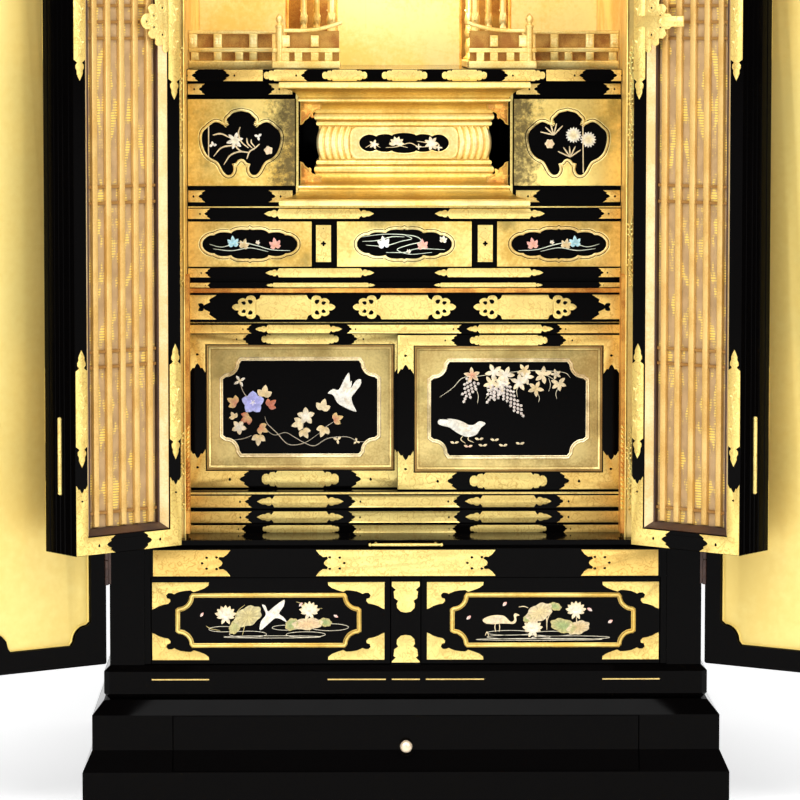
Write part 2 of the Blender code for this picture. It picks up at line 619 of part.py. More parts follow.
def build_side_cases():
    """The C-shaped cases beside the platform and their drawers with cloud windows."""
    base = ALTAR_BOARD_TOP + TOUCH
    top = SHRINE_FLOOR_BOTTOM - TOUCH
    for side, sign in SIDES:
        outer, inner, wall = INNER_HALF, CASE_INNER, CASE_INNER + CASE_DIVIDER
        section = [(inner, base), (outer, base), (outer, CASE_BOX_BOTTOM), (wall, CASE_BOX_BOTTOM),
                   (wall, CASE_BOX_TOP), (outer, CASE_BOX_TOP), (outer, top), (inner, top)]
        outline = [(sign * x, z) for x, z in section]
        case = upright(f"side_case_{side}", [outline], INNER_FRONT, INNER_FRONT + CASE_DEPTH)
        place(f"side_case_{side}", case, BLACK)
        x0, x1 = mirrored(sign, wall + RUNNING, INNER_HALF - RUNNING / 2)
        drawer_box(f"side_drawer_{side}", x0, x1, CASE_BOX_BOTTOM + RUNNING, CASE_BOX_TOP - RUNNING,
                   SMALL_FRONT, CASE_DEPTH - 0.020,
                   lambda half, tall: cloud_window(0, tall / 2, CLOUD_HALF_WIDE, CLOUD_HALF_TALL), GOLD)


def platform_sections():
    """Half width and height of each tier of the platform, from its foot to its top board."""
    base = ALTAR_BOARD_TOP + TOUCH
    top = SHRINE_FLOOR_BOTTOM - TOUCH
    lower = [(PLATFORM_HALF, 0.0), (PLATFORM_HALF, PLATFORM_BOARD), (0.1300, PLATFORM_BOARD),
             (0.1265, PLATFORM_BOARD + 0.0030), (0.1235, 0.0135), (0.1175, 0.0140), (0.1175, 0.0195),
             (0.1125, 0.0205), (0.1085, 0.0260), (0.1030, 0.0330), (0.1015, 0.0345), (0.1015, 0.0385),
             (0.0985, 0.0395), (0.0985, 0.0450), (WAIST_HALF - 0.006, 0.0465)]
    upper = [(half, top - rise) for half, rise in lower[::-1]]
    return [(half, base + rise) for half, rise in lower] + upper


def build_platform():
    """The stepped altar platform: mitred tiers, barrel ends at the waist and corner brackets."""
    sections = [(half, PLATFORM_FRONT + (PLATFORM_HALF - half), z) for half, z in platform_sections()]
    back = PLATFORM_FRONT + PLATFORM_DEPTH
    platform = place("altar_platform", stacked_sections("altar_platform", sections, back), GOLD)
    core = CASE_INNER - TOUCH
    for sign in (-1, 1):
        x0, x1 = mirrored(sign, core, PLATFORM_HALF + 0.010)
        cut_box(platform, (x0, INNER_FRONT - TOUCH, ALTAR_BOARD_TOP - 0.01),
                (x1, back + 0.01, SHRINE_FLOOR_TOP))
    waist_front = PLATFORM_FRONT + (PLATFORM_HALF - WAIST_HALF) + 0.006
    middle = (ALTAR_BOARD_TOP + SHRINE_FLOOR_BOTTOM) / 2
    reach = (sections[15][2] - sections[14][2]) / 2 + 0.001
    for sign in (-1, 1):
        for k in range(BARREL_RIBS):
            x = sign * (WAIST_HALF - 0.0045 - k * BARREL_PITCH)
            join_mesh(platform, post_mesh("rib", BARREL_PITCH * 0.60, (x, waist_front + 0.001),
                                          middle - reach, middle + reach, 8))
        for level in (-1, 1):
            far = middle + level * BRACKET_REACH
            edge = [(core, 0.0), (0.1085, 0.0060), (0.1055, 0.0070), (0.1010, 0.0130), (0.0985, 0.0150),
                    (0.0960, 0.0160), (BRACKET_INNER, 0.0165)]
            bracket = [(BRACKET_INNER, far), (core, far)]
            bracket += [(x, middle + level * (BRACKET_TIP + rise)) for x, rise in edge]
            outline = [(sign * x, z) for x, z in bracket]
            join_mesh(platform, upright("bracket", [outline], BRACKET_FRONT, BRACKET_BACK))
    panel = rectangle(-WAIST_PANEL_HALF_WIDE, middle - WAIST_PANEL_HALF_TALL,
                      WAIST_PANEL_HALF_WIDE, middle + WAIST_PANEL_HALF_TALL)
    join_mesh(platform, upright("waist_panel", [panel], waist_front - 0.004, waist_front + 0.004))
    cartouche = lobed(0, middle, CARTOUCHE_HALF_WIDE, CARTOUCHE_HALF_TALL, 10, 0.12)
    cut_mesh(platform, upright("waist_window", [cartouche], waist_front - 0.01, waist_front - 0.0015))


def build_shrine():
    """Shrine floor, gold back, the transom over the opening and the canopy on its columns."""
    box("shrine_floor", (-INNER_HALF, SHRINE_FRONT, SHRINE_FLOOR_BOTTOM),
        (INNER_HALF, SHRINE_BACK, SHRINE_FLOOR_TOP), BLACK)
    box("shrine_back", (-INNER_HALF, SHRINE_BACK + TOUCH, SHRINE_FLOOR_BOTTOM),
        (INNER_HALF, SHRINE_BACK + 0.008, INNER_TOP), GOLD)

    half, top = INNER_HALF, INNER_TOP
    drop, lobes, steps = TRANSOM_DROP, 6, 6
    points = [(half, top), (-half, top)]
    for lobe in range(lobes):
        for k in range(steps):
            t = (lobe + k / steps) / lobes
            x = -half + 2 * half * t
            arch = drop * (1 - 0.55 * math.sin(math.pi * t) ** 0.8)
            scallop = 0.016 * abs(math.sin(math.pi * lobes * t))
            points.append((x, top - arch + scallop))
    points.append((half, top - drop))
    place("transom", upright("transom", [points], INNER_FRONT, INNER_FRONT + TRANSOM_THICK), GOLD)

    base = SHRINE_FLOOR_TOP + TOUCH
    foot, beam = 0.0080, 0.0100
    (near, far), (front, back) = COLUMN_BASE_X, COLUMN_BASE_Y
    for side, sign in SIDES:
        name = f"columns_{side}"
        x0, x1 = mirrored(sign, near, far)
        group = box(name, (x0, front, base), (x1, back, base + foot), GOLD)
        join_mesh(group, box_mesh("beam", (x0, front, base + COLUMN_HEIGHT - beam),
                                  (x1, back, base + COLUMN_HEIGHT)))
        for x, y, radius in ((near + 0.0090, front + 0.0150, COLUMN_RADIUS),
                             (near + 0.0260, front + 0.0600, SLIM_COLUMN_RADIUS),
                             (far - 0.0080, front + 0.0150, SLIM_COLUMN_RADIUS),
                             (near + 0.0090, back - 0.0150, COLUMN_RADIUS)):
            at = (sign * x, y)
            join_mesh(group, post_mesh("column", radius, at, base + foot / 2,
                                       base + COLUMN_HEIGHT - beam / 2, 10))
            join_mesh(group, post_mesh("wrap", radius * 1.45, at, base + foot / 2,
                                       base + COLUMN_WRAP_HEIGHT, 8, top_radius=radius * 1.15))
    build_canopy(base + COLUMN_HEIGHT + TOUCH)


def build_canopy(base):
    """The shrine's roof: a hipped shell with upswept eaves over a stepped cornice."""
    bm = bmesh.new()
    across, levels = 10, 6
    mid_y, deep = (EAVE_FRONT + EAVE_BACK) / 2, (EAVE_BACK - EAVE_FRONT) / 2
    rings = []
    for level in range(levels):
        t = level / (levels - 1)
        hx, hy = EAVE_HALF * (1 - 0.78 * t ** 0.75), deep * (1 - 0.90 * t ** 0.75)
        spread = [-1 + 2 * k / across for k in range(across)]
        lifts = [EAVE_LIFT * abs(s) ** 3 * (1 - t) ** 2 for s in spread]
        ring = [(hx * s, mid_y - hy, lift) for s, lift in zip(spread, lifts)]
        ring += [(hx, mid_y + hy * s, lift) for s, lift in zip(spread, lifts)]
        ring += [(-x, 2 * mid_y - y, lift) for x, y, lift in ring]
        height = base + EAVE_LIFT + CANOPY_RISE * t ** 1.25
        rings.append([bm.verts.new((x, y, height + lift)) for x, y, lift in ring])
    for lower, upper in zip(rings, rings[1:]):
        count = len(lower)
        for k in range(count):
            bm.faces.new((lower[k], lower[(k + 1) % count], upper[(k + 1) % count], upper[k]))
    bm.faces.new(rings[-1])
    count = len(rings[0])
    under = [bm.verts.new((v.co.x * 0.96, v.co.y, v.co.z - 0.008)) for v in rings[0]]
    for k in range(count):
        bm.faces.new((under[k], under[(k + 1) % count], rings[0][(k + 1) % count], rings[0][k]))
    soffit = [bm.verts.new((v.co.x * 0.62, v.co.y * 0.62, base + 0.012)) for v in under]
    for k in range(count):
        bm.faces.new((soffit[k], soffit[(k + 1) % count], under[(k + 1) % count], under[k]))
    foot = [bm.verts.new((v.co.x, v.co.y, base)) for v in soffit]
    for k in range(count):
        bm.faces.new((foot[k], foot[(k + 1) % count], soffit[(k + 1) % count], soffit[k]))
    bm.faces.new(foot[::-1])
    place("shrine_canopy", to_mesh("shrine_canopy", bm), GOLD)


def build_railings():
    """The low railings: a bright front run with its finial post and a set-back outer run."""
    base = SHRINE_FLOOR_TOP + TOUCH
    for side, sign in SIDES:
        post_x = sign * (RAIL_OUTER_RUN - 0.0080)
        rails = ((base, 0.0110, 0.0090), (base + 0.0215, 0.0065, 0.0055),
                 (base + 0.0380, 0.0045, 0.0050))
        name = f"railing_{side}"
        x0, x1 = mirrored(sign, RAIL_INNER, RAIL_OUTER_RUN)
        low, tall, deep = rails[0]
        group = box(name, (x0, RAIL_Y - deep / 2, low), (x1, RAIL_Y + deep / 2, low + tall), GOLD)
        for low, tall, deep in rails[1:]:
            join_mesh(group, box_mesh("rail", (x0, RAIL_Y - deep / 2, low),
                                      (x1, RAIL_Y + deep / 2, low + tall)))
        o0, o1 = mirrored(sign, RAIL_OUTER_RUN - 0.012, INNER_HALF - TOUCH)
        for low, tall, deep in rails:
            join_mesh(group, box_mesh("outer_rail", (o0, RAIL_BACK_Y - deep / 2, low),
                                      (o1, RAIL_BACK_Y + deep / 2, low + tall)))
        for at in FRONT_BLOCKS:
            join_mesh(group, box_mesh("block", (sign * at - 0.0045, RAIL_Y - 0.0030, base + 0.0105),
                                      (sign * at + 0.0045, RAIL_Y + 0.0030, base + 0.0220)))
        for at in UPPER_BLOCKS:
            join_mesh(group, box_mesh("upper_block", (sign * at - 0.0050, RAIL_Y - 0.0026, base + 0.0275),
                                      (sign * at + 0.0050, RAIL_Y + 0.0026, base + 0.0385)))
        for at in OUTER_BLOCKS:
            join_mesh(group, box_mesh("outer_block", (sign * at - 0.0045, RAIL_BACK_Y - 0.0030, base + 0.0105),
                                      (sign * at + 0.0045, RAIL_BACK_Y + 0.0030, base + 0.0385)))
        t0, t1 = mirrored(sign, RAIL_OUTER_RUN - 0.0120, RAIL_OUTER_RUN - 0.0040)
        join_mesh(group, box_mesh("return", (t0, RAIL_Y, base), (t1, RAIL_BACK_Y, base + 0.0110)))
        join_mesh(group, post_mesh("rail_post", 0.0040, (post_x, RAIL_Y), base + 0.001,
                                   base + 0.0500, 10))
        finial = [(0.0, 0.0), (0.0040, 0.0), (0.0040, 0.0040), (0.0022, 0.0050), (0.0032, 0.0070),
                  (0.0037, 0.0090), (0.0030, 0.0115), (0.0012, 0.0135), (0.0, 0.0135)]
        cap = turned("finial", finial, 10)
        cap.transform(Matrix.Translation((post_x, RAIL_Y, base + 0.0470)))
        join_mesh(group, cap)


def outer_leaf(name, hinge, way, width, tall, near):
    """A lacquered leaf, sunk on both faces to a notched panel; way is +1 where it runs to +X."""
    x0, x1 = mirrored(way, 0, width)
    far = near + OUTER_THICK
    leaf = box(name, (x0, near, 0), (x1, far, tall), BLACK, parent=hinge, bevel=0.0015)
    window = notched(x0 + OUTER_STILE, OUTER_RAIL, x1 - OUTER_STILE, tall - OUTER_RAIL, OUTER_NOTCH)
    for tag, start, stop in (("front", near - 0.01, near + OUTER_RECESS),
                             ("back", far - OUTER_RECESS, far + 0.01)):
        cut_mesh(leaf, upright(f"{name}_{tag}", [window], start, stop), hinge)


def inner_leaf(name, hinge, way, start, width, tall, near):
    """A folding leaf: a black frame and, in it, a lattice of ribs on both faces of a backing."""
    x0, x1 = mirrored(way, start, start + width)
    ox0, oz0, ox1, oz1 = x0 + INNER_STILE, INNER_RAIL, x1 - INNER_STILE, tall - INNER_RAIL
    frame = upright(name, [rectangle(x0, 0, x1, tall), rectangle(ox0, oz0, ox1, oz1)],
                    near, near + INNER_THICK)
    place(name, frame, BLACK, parent=hinge)
    middle = near + INNER_THICK / 2
    half_back = LATTICE_BACKING / 2
    lattice = box(f"{name}_lattice", (ox0 + TOUCH, middle - half_back, oz0 + TOUCH),
                  (ox1 - TOUCH, middle + half_back, oz1 - TOUCH), GAUZE, parent=hinge)
    pitch = (ox1 - ox0) / LATTICE_CELLS
    reach = half_back + LATTICE_RIB_PROUD
    ribs = bmesh.new()
    for k in range(1, LATTICE_CELLS):
        x = ox0 + k * pitch
        add_box(ribs, (x - LATTICE_RIB / 2, middle - reach, oz0 + LATTICE_EDGE / 2),
                (x + LATTICE_RIB / 2, middle + reach, oz1 - LATTICE_EDGE / 2))
    join_mesh(lattice, to_mesh("ribs", ribs), hinge)
    edge = [rectangle(ox0 + TOUCH, oz0 + TOUCH, ox1 - TOUCH, oz1 - TOUCH),
            rectangle(ox0 + LATTICE_EDGE, oz0 + LATTICE_EDGE, ox1 - LATTICE_EDGE, oz1 - LATTICE_EDGE)]
    join_mesh(lattice, upright("border", edge, middle - reach, middle + reach), hinge)


def build_doors():
    """The outer and inner folding doors, each side hung from its post and standing open."""
    outer_axis = BODY_HALF + OUTER_AXIS_OUT
    outer_width = (outer_axis - (MEETING_GAP + FOLD_GAP) / 2) / 2
    outer_low = SILL_TOP + OUTER_BOTTOM_GAP
    outer_tall = BODY_TOP - OUTER_BOTTOM_GAP - outer_low
    inner_axis = POST_INNER - FOLD_GAP
    inner_width = (inner_axis - MEETING_GAP / 2 - FOLD_GAP) / 2
    inner_tall = INNER_TOP - INNER_BOTTOM
    for side, sign in SIDES:
        way = -sign
        hinge = pivot(f"outer_{side}_hinge", (sign * outer_axis, BODY_FRONT - OUTER_FACE_GAP, outer_low),
                      -way * OUTER_OPEN_DEG)
        outer_leaf(f"outer_leaf_{side}_1", hinge, way, outer_width, outer_tall, -OUTER_THICK)
        fold = pivot(f"outer_{side}_fold", (way * (outer_width + FOLD_GAP), -OUTER_THICK, 0),
                     -way * OUTER_FOLD_DEG, hinge)
        outer_leaf(f"outer_leaf_{side}_2", fold, way, outer_width - FOLD_GAP, outer_tall, 0)

        hinge = pivot(f"inner_{side}_hinge", (sign * inner_axis, BODY_FRONT + INNER_SETBACK, INNER_BOTTOM),
                      -way * INNER_OPEN_DEG)
        inner_leaf(f"inner_leaf_{side}_a", hinge, way, 0, inner_width, inner_tall, 0)
        axis_y = INNER_THICK + FOLD_AXIS_OFF
        fold = pivot(f"inner_{side}_fold", (way * (inner_width + FOLD_GAP / 2), axis_y, 0),
                     way * INNER_FOLD_DEG, hinge)
        inner_leaf(f"inner_leaf_{side}_b", fold, way, FOLD_GAP / 2, inner_width, inner_tall, -axis_y)


build_plinth()
build_carcass()
build_lower_drawers()
build_cupboard()
build_small_drawers()
build_side_cases()
build_platform()
build_shrine()
build_railings()
build_doors()
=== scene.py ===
"""The looks of a household altar cabinet in black lacquer and gold leaf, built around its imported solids.

Outlines and heights are in millimetres on a face of the cabinet; a Face turns them into metres.
"""
import json
import math

import bpy
import numpy as np
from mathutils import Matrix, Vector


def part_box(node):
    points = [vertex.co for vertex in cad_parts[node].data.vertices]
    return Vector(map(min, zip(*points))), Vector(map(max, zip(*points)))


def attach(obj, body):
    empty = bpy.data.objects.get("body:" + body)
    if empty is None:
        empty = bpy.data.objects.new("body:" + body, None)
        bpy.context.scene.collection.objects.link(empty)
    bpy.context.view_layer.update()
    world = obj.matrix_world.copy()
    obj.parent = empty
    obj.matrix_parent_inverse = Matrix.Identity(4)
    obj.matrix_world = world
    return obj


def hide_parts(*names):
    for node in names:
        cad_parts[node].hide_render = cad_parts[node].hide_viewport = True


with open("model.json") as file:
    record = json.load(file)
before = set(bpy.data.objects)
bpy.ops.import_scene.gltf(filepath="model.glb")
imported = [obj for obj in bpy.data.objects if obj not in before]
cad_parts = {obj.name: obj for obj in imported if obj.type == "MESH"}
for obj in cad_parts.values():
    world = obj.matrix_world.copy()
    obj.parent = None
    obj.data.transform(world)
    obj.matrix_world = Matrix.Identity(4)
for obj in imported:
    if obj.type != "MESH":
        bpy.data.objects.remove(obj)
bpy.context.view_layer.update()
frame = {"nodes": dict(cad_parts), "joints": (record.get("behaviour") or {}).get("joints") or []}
MM = 0.001
SIDES = (("left", -1), ("right", 1))
# How far rows, plates and rails run from the middle to meet the gilt jambs
JAMB_REACH = 235.8
AXIS = {joint["name"]: np.array(joint["pos_m"]) for joint in frame["joints"] if "pos_m" in joint}

# The camera stands a little left of the middle, low enough to see the undersides of the boards
CAMERA_AT = (-0.0748, -4.2327, 0.8509)
CAMERA_DOWN_DEG, CAMERA_RIGHT_DEG = 4.335, 0.616
CAMERA_LENS = 168.5
CAMERA_SHIFT = (0.030, -0.120)


# Faces, outlines and shells

class Face:
    """A flat face: millimetres along it, up it and out of it become metres in the frame."""

    def __init__(self, origin, along=(1, 0, 0), up=(0, 0, 1), out=(0, -1, 0)):
        """Keep the origin in metres and the three directions."""
        self.origin = np.asarray(origin, float)
        self.axes = np.array([along, up, out], float)

    def at(self, flat, height=0.0):
        """The point of each (along, up) pair at its height."""
        flat = np.asarray(flat, float)
        height = np.broadcast_to(np.asarray(height, float), flat.shape[:-1])
        return self.origin + np.concatenate([flat, height[..., None]], -1) @ self.axes * MM

    def raised(self, height):
        """The same face, moved out by a height."""
        return Face(self.origin + self.axes[2] * height * MM, *self.axes)


def front_face(node, lift=0.0):
    """The face on a node's front, with X and Z in frame millimetres."""
    return Face((0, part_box(node)[0].y - lift * MM, 0))


def leftwards(outline):
    """The outline run so that its inside lies to the left of every edge."""
    outline = np.asarray(outline, float)
    x, y = outline.T
    area = (x * np.roll(y, -1) - y * np.roll(x, -1)).sum()
    return outline if area > 0 else outline[::-1]


def inset(outline, distance):
    """Every edge moved in by the distance: a corner goes along the bisector of its two edges."""
    edge = np.roll(outline, -1, 0) - outline
    edge /= np.maximum(np.linalg.norm(edge, axis=1, keepdims=True), 1e-9)
    inward = np.stack([-edge[:, 1], edge[:, 0]], 1)
    before = np.roll(inward, 1, 0)
    share = np.maximum(1 + (inward * before).sum(1, keepdims=True), 0.6)
    return outline + distance * (inward + before) / share


def curve(points, per=6, closed=False):
    """A Catmull-Rom curve through the points, with the same number of steps in every span."""
    points = np.asarray(points, float)
    if closed:
        ends = [points[-1:], points, points[:2]]
    else:
        ends = [2 * points[:1] - points[1:2], points, 2 * points[-1:] - points[-2:-1]]
    p = np.concatenate(ends)
    t = (np.arange(per) / per)[None, :, None]
    a, b, c, d = (p[k:len(p) - 3 + k, None] for k in range(4))
    run = 0.5 * (2 * b + (c - a) * t + (2 * a - 5 * b + 4 * c - d) * t ** 2
                 + (3 * b - a - 3 * c + d) * t ** 3)
    run = run.reshape(-1, points.shape[1])
    return run if closed else np.concatenate([run, points[-1:]])


def rectangle(x0, z0, x1, z1):
    """The four corners of a rectangle."""
    return np.array([(x0, z0), (x1, z0), (x1, z1), (x0, z1)], float)


def notched(x0, z0, x1, z1, notch, steps=7):
    """A rectangle with ogee corners: a short step, a hollow quarter circle and a short step."""
    turn = np.linspace(0, math.pi / 2, steps)
    lip = 0.22 * notch
    hollow = (lip + (notch - lip) * np.stack([np.sin(turn), np.cos(turn)], 1)) * 0.86
    corner = np.concatenate([[(0, notch)], hollow, [(notch, 0)]])
    return np.concatenate([corner + (x0, z0), (corner * (-1, 1))[::-1] + (x1, z0),
                           corner * (-1, -1) + (x1, z1), (corner * (1, -1))[::-1] + (x0, z1)])


def cartouche(quarter, cx, cz):
    """A closed outline from the points of its upper right quarter, from the top round to the right."""
    arc = curve(quarter, 3)
    right = np.concatenate([arc, (arc * (1, -1))[::-1][1:]])
    return leftwards(np.concatenate([right, (right * (-1, 1))[::-1][1:-1]]) + (cx, cz))


def plate_end(kind):
    """One end of a metal plate as (distance in from the tip, height) pairs, in plate heights."""
    halves = {
        "square": [(0, 0.5)],
        "fork": [(0.58, 0.0), (0.49, 0.10), (0.27, 0.20), (0.31, 0.30), (0, 0.5)],
        "bud": [(0.30, 0.0), (0.34, 0.08), (0.46, 0.16), (0.42, 0.24), (0.27, 0.23), (0.13, 0.33),
                (0, 0.5)],
        "spear": [(0, 0), (0.28, 0.16), (0.52, 0.26), (0.72, 0.25), (0.92, 0.36), (1.12, 0.36),
                  (1.28, 0.21), (1.37, 0.30), (1.50, 0.5)],
        "lobes": [(0, 0), (0.03, 0.18), (0.16, 0.31), (0.32, 0.33), (0.42, 0.27), (0.52, 0.41),
                  (0.76, 0.44), (0.82, 0.36), (0.95, 0.5)],
    }
    half = np.array(halves[kind], float)
    mirror = half[::-1] * (1, -1)
    return np.concatenate([mirror[:-1] if half[0, 1] == 0 else mirror, half])


def bar(x0, x1, z0, z1, left="square", right="square"):
    """A bar plate's outline, between its tips, with a shaped end at the left and the right."""
    tall = z1 - z0
    right_end = plate_end(right) * (-tall, tall) + (x1, (z0 + z1) / 2)
    left_end = plate_end(left) * (tall, tall) + (x0, (z0 + z1) / 2)
    return np.concatenate([right_end, left_end[::-1]])


def angle_plate(wide, tall, leg_wide, leg_tall, end="fork"):
    """An L-shaped corner plate from its outer corner: forked at the end of both legs."""
    run = plate_end(end)
    along = run * (-leg_tall, leg_tall) + (wide, leg_tall / 2)
    upward = (run * (-leg_wide, -leg_wide))[:, ::-1] + (leg_wide / 2, tall)
    return np.concatenate([[(0, 0)], along, [(leg_wide, leg_tall)], upward])


class Piece:
    """Closed shells gathered into one object of the visual model."""

    def __init__(self, name):
        """Start with no shells."""
        self.name, self.count = name, 0
        self.points, self.faces, self.tints, self.finishes = [], [], [], []

    def shell(self, points, quads, caps=(), tint=(1, 1, 1), finish=0):
        """Add one closed shell, turned so that its faces look outwards."""
        points = np.asarray(points, float).reshape(-1, 3)
        polygons = quads.tolist() + [list(cap) for cap in caps]
        centre = points.mean(0)
        corner = points - centre
        volume = np.einsum("ij,ij->", corner[quads[:, 0]],
                           np.cross(corner[quads[:, 1]], corner[quads[:, 2]])
                           + np.cross(corner[quads[:, 2]], corner[quads[:, 3]]))
        for cap in caps:
            fan = corner[np.asarray(cap)]
            volume += (fan[0] * np.cross(fan[1:-1], fan[2:]).sum(0)).sum()
        if volume < 0:
            polygons = [polygon[::-1] for polygon in polygons]
        self.points.append(points)
        self.faces += [[k + self.count for k in polygon] for polygon in polygons]
        tint = np.asarray(tint, float)
        tint = np.tile(tint, (len(points), 1)) if tint.ndim == 1 else tint.reshape(-1, 3)
        self.tints.append(tint)
        self.finishes += [finish] * len(polygons)
        self.count += len(points)
        return self

    def loft(self, rings, shut=False, tint=(1, 1, 1), finish=0):
        """Rings of equal count joined in order; shut joins the last to the first, else both are capped."""
        rings = np.asarray(rings, float)
        rows, across = rings.shape[:2]
        index = np.arange(rows * across).reshape(rows, across)
        if shut:
            index = np.concatenate([index, index[:1]])
        turned = np.roll(index, -1, 1)
        quads = np.stack([index[:-1], turned[:-1], turned[1:], index[1:]], -1).reshape(-1, 4)
        caps = () if shut else (index[0, ::-1], index[-1])
        return self.shell(rings, quads, caps, tint, finish)

    def slab(self, face, outline, section, tint=(1, 1, 1), finish=0):
        """A flat piece: (inset, height) steps carried round an outline, closed at back and front."""
        outline = leftwards(outline)
        rings = [face.at(inset(outline, step), height) for step, height in section]
        return self.loft(rings, tint=tint, finish=finish)

    def plate(self, face, outline, thick=0.9, ease=0.35, **look):
        """A metal plate with eased edges."""
        return self.slab(face, outline, [(0, 0), (0, thick - ease), (0.3 * ease, thick - 0.3 * ease),
                                         (ease, thick)], **look)

    def ring(self, face, outline, section, **look):
        """A moulding: a closed (inset, height) section carried round a closed outline."""
        outline = leftwards(outline)
        rings = [face.at(inset(outline, step), height) for step, height in section]
        return self.loft(rings, shut=True, **look)

    def blanket(self, face, flat, height, tint=(1, 1, 1), finish=0):
        """A relief: a grid of (along, up) points at their heights, dropped at its edge to the face."""
        flat = np.asarray(flat, float)
        rows, across = flat.shape[:2]
        wide = np.pad(flat, ((1, 1), (1, 1), (0, 0)), "edge")
        tall = np.pad(np.broadcast_to(height, flat.shape[:2]), 1)
        tint = np.asarray(tint, float)
        if tint.ndim > 1:
            tint = np.pad(tint, ((1, 1), (1, 1), (0, 0)), "edge")
        index = np.arange((rows + 2) * (across + 2)).reshape(rows + 2, across + 2)
        quads = np.stack([index[:-1, :-1], index[1:, :-1], index[1:, 1:], index[:-1, 1:]],
                         -1).reshape(-1, 4)
        border = np.concatenate([index[0, :-1], index[:-1, -1], index[-1, :0:-1], index[:0:-1, 0]])
        return self.shell(face.at(wide, tall), quads, (border,), tint, finish)

    def tube(self, path, radius, out, sides=8, flat=1.0, tint=(1, 1, 1), finish=0, closed=False):
        """A bar swept along a path in metres: circles squeezed by flat along the out direction."""
        path = np.asarray(path, float)
        ahead = np.roll(path, -1, 0) - np.roll(path, 1, 0) if closed else np.gradient(path, axis=0)
        ahead /= np.linalg.norm(ahead, axis=1, keepdims=True)
        out = np.asarray(out, float)
        side = np.cross(ahead, out)
        side /= np.linalg.norm(side, axis=1, keepdims=True)
        over = np.cross(side, ahead)
        turn = np.linspace(0, 2 * math.pi, sides, endpoint=False)
        radius = np.broadcast_to(np.asarray(radius, float), len(path))[:, None, None] * MM
        circle = (np.cos(turn)[None, :, None] * side[:, None]
                  + flat * np.sin(turn)[None, :, None] * over[:, None])
        return self.loft(path[:, None] + radius * circle, shut=closed, tint=tint, finish=finish)

    def turned(self, at, profile, up=(0, 0, 1), sides=24, **look):
        """A turned form: (radius, height) steps round an axis from a point."""
        up = np.asarray(up, float)
        side = np.cross(up, (0.0, 1.0, 0.0) if abs(up[1]) < 0.9 else (1.0, 0.0, 0.0))
        side /= np.linalg.norm(side)
        turn = np.linspace(0, 2 * math.pi, sides, endpoint=False)[None, :, None]
        radius, height = (np.asarray(v, float)[:, None, None] * MM for v in zip(*profile))
        circle = np.cos(turn) * side + np.sin(turn) * np.cross(up, side)
        return self.loft(np.asarray(at, float) + radius * circle + height * up, **look)

    def petal(self, face, base, length, width, heading, tint, tip=None, lift=0.5, belly=0.5):
        """A petal or leaf: its half width is a pinched sine of the way along, domed across."""
        u, v = np.meshgrid(np.linspace(0, 1, 9), np.linspace(-1, 1, 5), indexing="ij")
        half = 0.5 * width * np.sin(math.pi * u ** (math.log(0.5) / math.log(belly))) ** 0.8 + 0.06
        turn = math.radians(heading)
        ahead, side = np.array([math.cos(turn), math.sin(turn)]), np.array([-math.sin(turn), math.cos(turn)])
        flat = np.asarray(base, float) + (u * length)[..., None] * ahead + (v * half)[..., None] * side
        height = 0.12 + lift * (1 - v ** 2) * np.sin(math.pi * (0.08 + 0.84 * u))
        tint = np.asarray(tint, float)
        tip = tint if tip is None else np.asarray(tip, float)
        shade = tint + (tip - tint) * np.clip(u + 0.25 * np.abs(v), 0, 1)[..., None]
        return self.blanket(face, flat, height, tint=shade)

    def stroke(self, face, points, width, tint, per=6, height=0.15):
        """A drawn line: a flattened bar along a curve through the points, thin at both ends."""
        path = curve(points, per)
        taper = np.sin(math.pi * np.linspace(0.06, 0.94, len(path))) ** 0.5
        return self.tube(face.at(path, height), 0.5 * width * taper, face.axes[2], 6, 0.5, tint)

    def build(self, body, finishes, slot, sharp=38, replaces=()):
        """Make the object, give it its finishes and let it ride on its body."""
        mesh = bpy.data.meshes.new(self.name)
        mesh.from_pydata(np.concatenate(self.points).tolist(), [], self.faces)
        layer = mesh.attributes.new("tint", "FLOAT_COLOR", "POINT")
        tints = np.concatenate(self.tints)
        layer.data.foreach_set("color", np.column_stack([tints, np.ones(len(tints))]).ravel())
        finishes = finishes if isinstance(finishes, (list, tuple)) else [finishes]
        for finish in finishes:
            mesh.materials.append(finish)
        mesh.polygons.foreach_set("material_index", self.finishes)
        mesh.shade_smooth()
        mesh.set_sharp_from_angle(angle=math.radians(sharp))
        obj = bpy.data.objects.new(self.name, mesh)
        bpy.context.scene.collection.objects.link(obj)
        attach(obj, body)
        if replaces:
            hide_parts(*replaces)
        return obj


# Finishes

